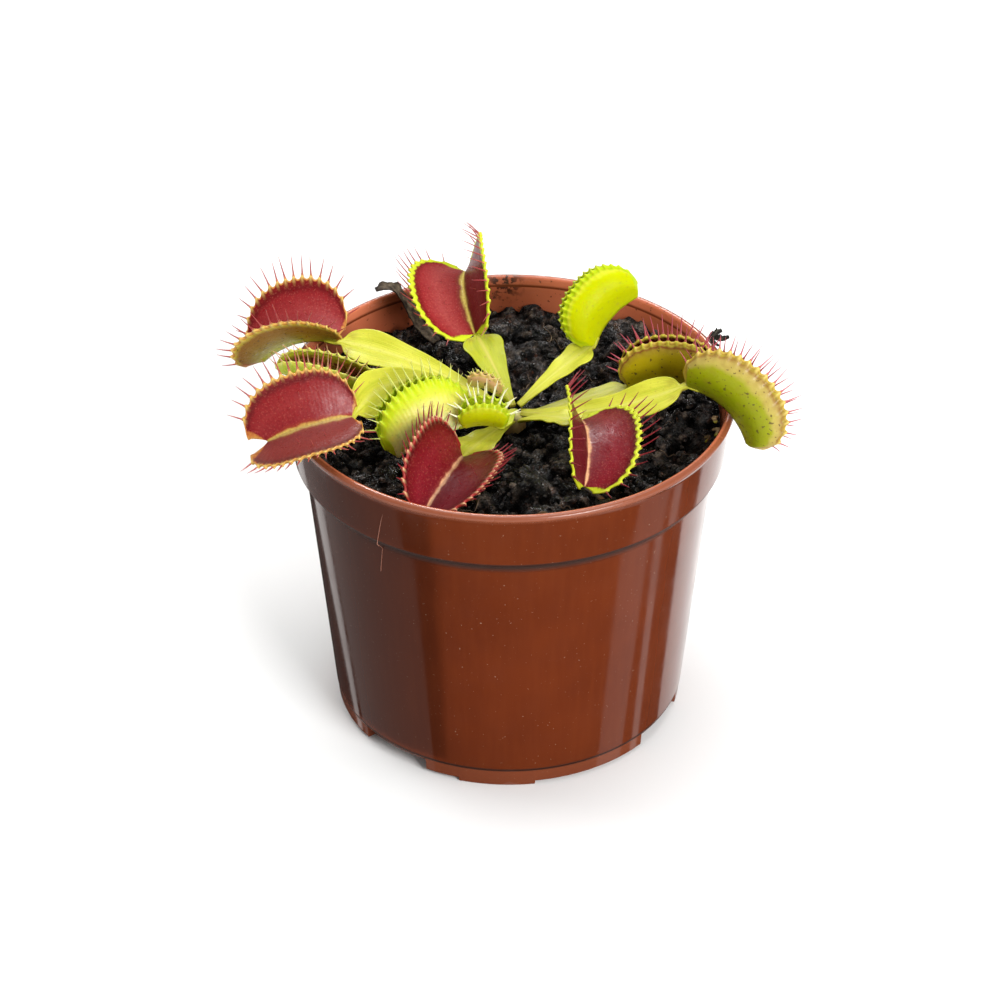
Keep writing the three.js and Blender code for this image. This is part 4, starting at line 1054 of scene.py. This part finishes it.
def dead_blade(parts, fold, roll, rib, ragged, seed, widths, points):
    """A withered blade along a smooth path, folded along its rib, its edge torn by noise, its
    skin wrinkled, and its thickness falling from the rib to the edge."""
    count = 60
    path = smooth_path(points, count) * MM
    wide = smooth_path(np.array(widths)[:, None], count) * MM
    across, out = cross_axes(unit(np.gradient(path, axis=0)), roll)
    top, face = blade_section(15)
    station = np.arange(count)[:, None]
    edge = np.stack(np.broadcast_arrays(station * 0.25, np.sign(top) * 3, float(seed)), -1)
    x = 0.5 * wide * top * (1 + ragged * (noise(edge, 1.0, 2) - 0.5))
    half = rib * MM * (0.35 + 0.65 * bell(x, 0.4 * MM))
    skin = beside(path, x, across, np.abs(x) * np.tan(np.radians(fold)) + face * half, out)
    wrinkle = noise(skin + 0.01 * seed, 0.9 * MM, 3) - 0.5
    skin = skin + (0.35 * MM * ragged * wrinkle)[..., None] * out[:, None]
    parts.shell(skin, along=np.linspace(0, 1, count)[:, None], across=np.abs(top))


def dead_finish(name, dark, middle, pale, tip):
    f = Finish(name, 0.75, specular=0.25)
    along, across = f.attribute("along"), f.attribute("across")
    colour = f.ramp(f.noise(1.4, 5), (0.32, *dark), (0.5, *middle), (0.68, *pale))
    colour = f.mix(f.spread(across, 0.75, 1.0, 0.0, 0.6), colour, dark)
    colour = f.mix(f.spread(along, 0.8, 1.0, 0.0, 0.8), colour, tip)
    return f.done(colour, f.streaks(along, across, 12, 24, 3) + f.noise(0.5, 4), 0.18)


# Each fallen piece: its name, slot and node; its finish's name and its dark, middle, pale and tip
# colours; then its blades, each with fold, roll, rib, tear, seed, widths and path in millimetres.
THREAD = (0.4, 0.9, 0.7, 0.4)
FALLEN = [
    ("withered_leaf", "dry_leaf", "dry_leaf",
     ("withered", (44, 34, 26), (92, 78, 62), (136, 120, 98), (40, 28, 22)), [
         (16, 0, 0.3, 0.7, 1, (2.4, 3, 3.4, 4.8, 3.2, 1.4),
          [(-15, 29.5, 64.6), (-18.4, 33, 66.4), (-20.8, 34.9, 69.6), (-23.2, 35.4, 73),
           (-25.3, 35, 74.4), (-27.4, 34.2, 74.2)])]),
    ("black_scrap", "dead_scrap", "rim_scrap",
     ("black_leaf", (16, 13, 11), (34, 29, 24), (96, 94, 76), (20, 15, 12)), [
         (20, 0, 0.28, 0.8, 2, (1.6, 3, 1),
          [(40.4, 17.5, 73), (41.6, 17.2, 73.8), (42.8, 16.8, 75.2)]),
         (10, 20, 0.28, 0.6, 3, (1.4, 1.5, 0.7),
          [(41.4, 17.2, 73.5), (43, 16.6, 73.4), (44.3, 16.1, 74.1)]),
         (0, -20, 0.22, 0.6, 4, (1.2, 1.4, 0.8),
          [(40.6, 17.3, 73.2), (41.4, 16.5, 72.6), (42.3, 15.8, 72.2)])]),
    ("forked_twig", "twig", "twig",
     ("twig_bark", (60, 48, 38), (110, 98, 84), (150, 138, 120), (176, 116, 62)), [
         (0, 0, 0.36, 0.4, 4, (0.7, 0.9, 0.8),
          [(13.2, -24, 65.4), (15.6, -26.6, 65.5), (18.1, -29.4, 65.4)]),
         (0, 0, 0.32, 0.4, 5, (0.8, 0.7, 0.6),
          [(15.6, -26.6, 65.5), (15.1, -24.8, 65.9), (14.9, -23.6, 66)])]),
    ("litter", "peat", "soil",
     ("litter", (74, 56, 38), (116, 92, 62), (168, 146, 108), (186, 188, 60)), [
         (12, 0, 0.2, 0.7, 11, THREAD[:3],
          [(41.3, -2, 66.6), (40.6, -3.2, 67.2), (40.9, -4.4, 66.8)]),
         (12, 30, 0.2, 0.7, 12, THREAD[:3],
          [(40.2, -6.4, 66.4), (41.2, -7.4, 67.1), (40.7, -8.8, 66.6)]),
         (12, 60, 0.2, 0.7, 13, THREAD[:3],
          [(38.6, -8.6, 66.2), (39.4, -9.6, 66.8), (38.6, -10.6, 66.4)]),
         (12, 90, 0.2, 0.7, 14, THREAD,
          [(4.8, -36.4, 66.3), (5.8, -36.9, 67.4), (7, -36.6, 67.2), (7.6, -36.9, 66.4)])]),
]


# ---------------------------------------------------------------- studio

VIEW_TARGET = np.array([-1.83, 0, 45.3]) * MM
VIEW_DISTANCE = 700 * MM
VIEW_PITCH = np.radians(34.4)
VIEW_BACK = np.array([0, -np.cos(VIEW_PITCH), np.sin(VIEW_PITCH)])
CAMERA_PLACE = VIEW_TARGET + VIEW_DISTANCE * VIEW_BACK
FLOOR_REACH = 6
LIGHT_TARGET = Vector((0, 0, 0.05))


def make_floor():
    mesh = bpy.data.meshes.new("floor")
    mesh.from_pydata([(x * FLOOR_REACH, y * FLOOR_REACH, 0)
                      for x, y in ((-1, -1), (1, -1), (1, 1), (-1, 1))], [], [(0, 1, 2, 3)])
    floor = link("floor", mesh)
    f = Finish("floor_paper", 0.9, specular=0.1)
    mesh.materials.append(f.done(f.mix(f.patches(400, 2, 0.4, 0.6, 0.0, 0.2), (244, 244, 243),
                                       (240, 240, 240))))


def add_light(name, where, size, power):
    """A rectangular soft light that faces the target; its power is in watts."""
    lamp = bpy.data.lights.new(name, "AREA")
    lamp.shape = "RECTANGLE"
    lamp.size, lamp.size_y = size
    lamp.energy = power
    light = link(name, lamp)
    light.location = where
    away = Vector(where) - LIGHT_TARGET
    light.rotation_euler = away.to_track_quat("Z", "Y").to_euler()
    return light


def add_card(name, outline, rays, glow):
    """A card near the pot that only one kind of ray meets, "diffuse" or "glossy": it darkens or
    brightens what the pot's wall receives or mirrors, and throws no shadow."""
    material = bpy.data.materials.new(name)
    material.use_nodes = True
    shader = material.node_tree.nodes["Principled BSDF"].inputs
    shader["Base Color"].default_value = (0, 0, 0, 1)
    shader["Specular IOR Level"].default_value = 0.0
    shader["Emission Color"].default_value = (1, 0.97, 0.95, 1)
    shader["Emission Strength"].default_value = glow
    mesh = bpy.data.meshes.new(name)
    mesh.from_pydata(outline.reshape(-1, 3).tolist(), [], grid_quads(len(outline), 2).tolist())
    mesh.materials.append(material)
    card = link(name, mesh)
    for kind in ("camera", "shadow", "transmission", "diffuse", "glossy"):
        setattr(card, "visible_" + kind, kind == rays)


def mirror_strip(foot, top, level):
    """The strip of floor that the pot's wall mirrors to the camera between two azimuths, given
    in degrees right of the nearest point, at the foot and at the shoulder. Each ray from the
    camera turns into r = d - 2 (d.n) n at the wall and runs down to `level`."""
    share = np.linspace(0, 1.5, 19)[:, None]
    angle = np.radians(np.array(foot) + (np.array(top) - np.array(foot)) * share)
    z = np.broadcast_to(FOOT_HEIGHT * 0.2 + (SHOULDER - FOOT_HEIGHT * 0.2) * share, angle.shape)
    slope = (BODY[1] - BODY[0]) / (SHOULDER - FOOT_HEIGHT)
    place = polar(slide(z, FOOT_HEIGHT, SHOULDER, BODY), angle - np.pi / 2, z)
    normal = unit(polar(1, angle - np.pi / 2, -slope))
    ray = unit(place - CAMERA_PLACE)
    ray = ray - 2 * (ray * normal).sum(-1, keepdims=True) * normal
    return place - ray * ((z - level) / ray[..., 2])[..., None]


def make_cards():
    """A dim screen round the pot's left side, which keeps the pale floor's light off it, dark
    cards where the wall would mirror the floor, and pale strips mirrored as upright streaks."""
    turn = np.radians(np.linspace(150, 250, 26))
    for name, low, high in (("body", (37 * MM, 5 * MM), (42.6 * MM, SHOULDER - 1.4 * MM)),
                            ("collar", (43.8 * MM, SHOULDER), (44.9 * MM, POT_HEIGHT - 3 * MM))):
        screen = np.stack([polar(radius, turn, height) for radius, height in (low, high)], 1)
        add_card("shade_" + name, screen, "diffuse", 0.3)
    for index, span in enumerate(((-84, -40), (-40, 0), (0, 30), (30, 58))):
        add_card(f"shade_front_{index}", mirror_strip(span, span, 0.2 * MM), "glossy", 0.05)
    for index, (foot, top, glow) in enumerate((
        ((-56, -25), (-66, -29), 0.3), ((-61, -58), (-75, -67), 0.9),
        ((30, 39.5), (34, 44), 0.52), ((44, 47), (46, 49), 0.8),
    )):
        add_card(f"strip_{index}", mirror_strip(foot, top, 0.4 * MM), "glossy", glow)


def make_studio():
    scene = bpy.context.scene
    lens = bpy.data.cameras.new("camera")
    lens.lens = 124.4
    lens.sensor_width = 36
    scene.camera = link("camera", lens)
    scene.camera.location = CAMERA_PLACE
    scene.camera.rotation_euler = (np.pi / 2 - VIEW_PITCH, 0, 0)
    scene.view_settings.view_transform = "Standard"
    scene.world = bpy.data.worlds.new("studio")
    scene.world.use_nodes = True
    sky = scene.world.node_tree.nodes["Background"].inputs
    sky["Color"].default_value = (1, 1, 1, 1)
    sky["Strength"].default_value = 0.4
    add_light("top_soft", (0.05, 0.15, 0.9), (0.7, 0.6), 5.6)
    add_light("right_key", (0.42, -0.6, 0.42), (0.35, 0.35), 6.8)
    add_light("left_fill", (-0.5, 0.25, 0.7), (0.5, 0.5), 2.4).visible_glossy = False
    add_light("rear_glint", (-0.1, 0.55, 0.55), (0.16, 0.12), 3).visible_diffuse = False
    make_cards()


make_pot()
make_peat()
weld(add_piece("crown_bulb", crown_parts(), crown_finish(), "rhizome").data)
for leaf_index, leaf in enumerate(LEAVES):
    make_leaf(leaf_index, *leaf)
for fallen_name, slot, node, colours, blades in FALLEN:
    scraps = Parts()
    for blade in blades:
        dead_blade(scraps, *blade)
    add_piece(fallen_name, scraps, dead_finish(*colours), node)
make_floor()
make_studio()
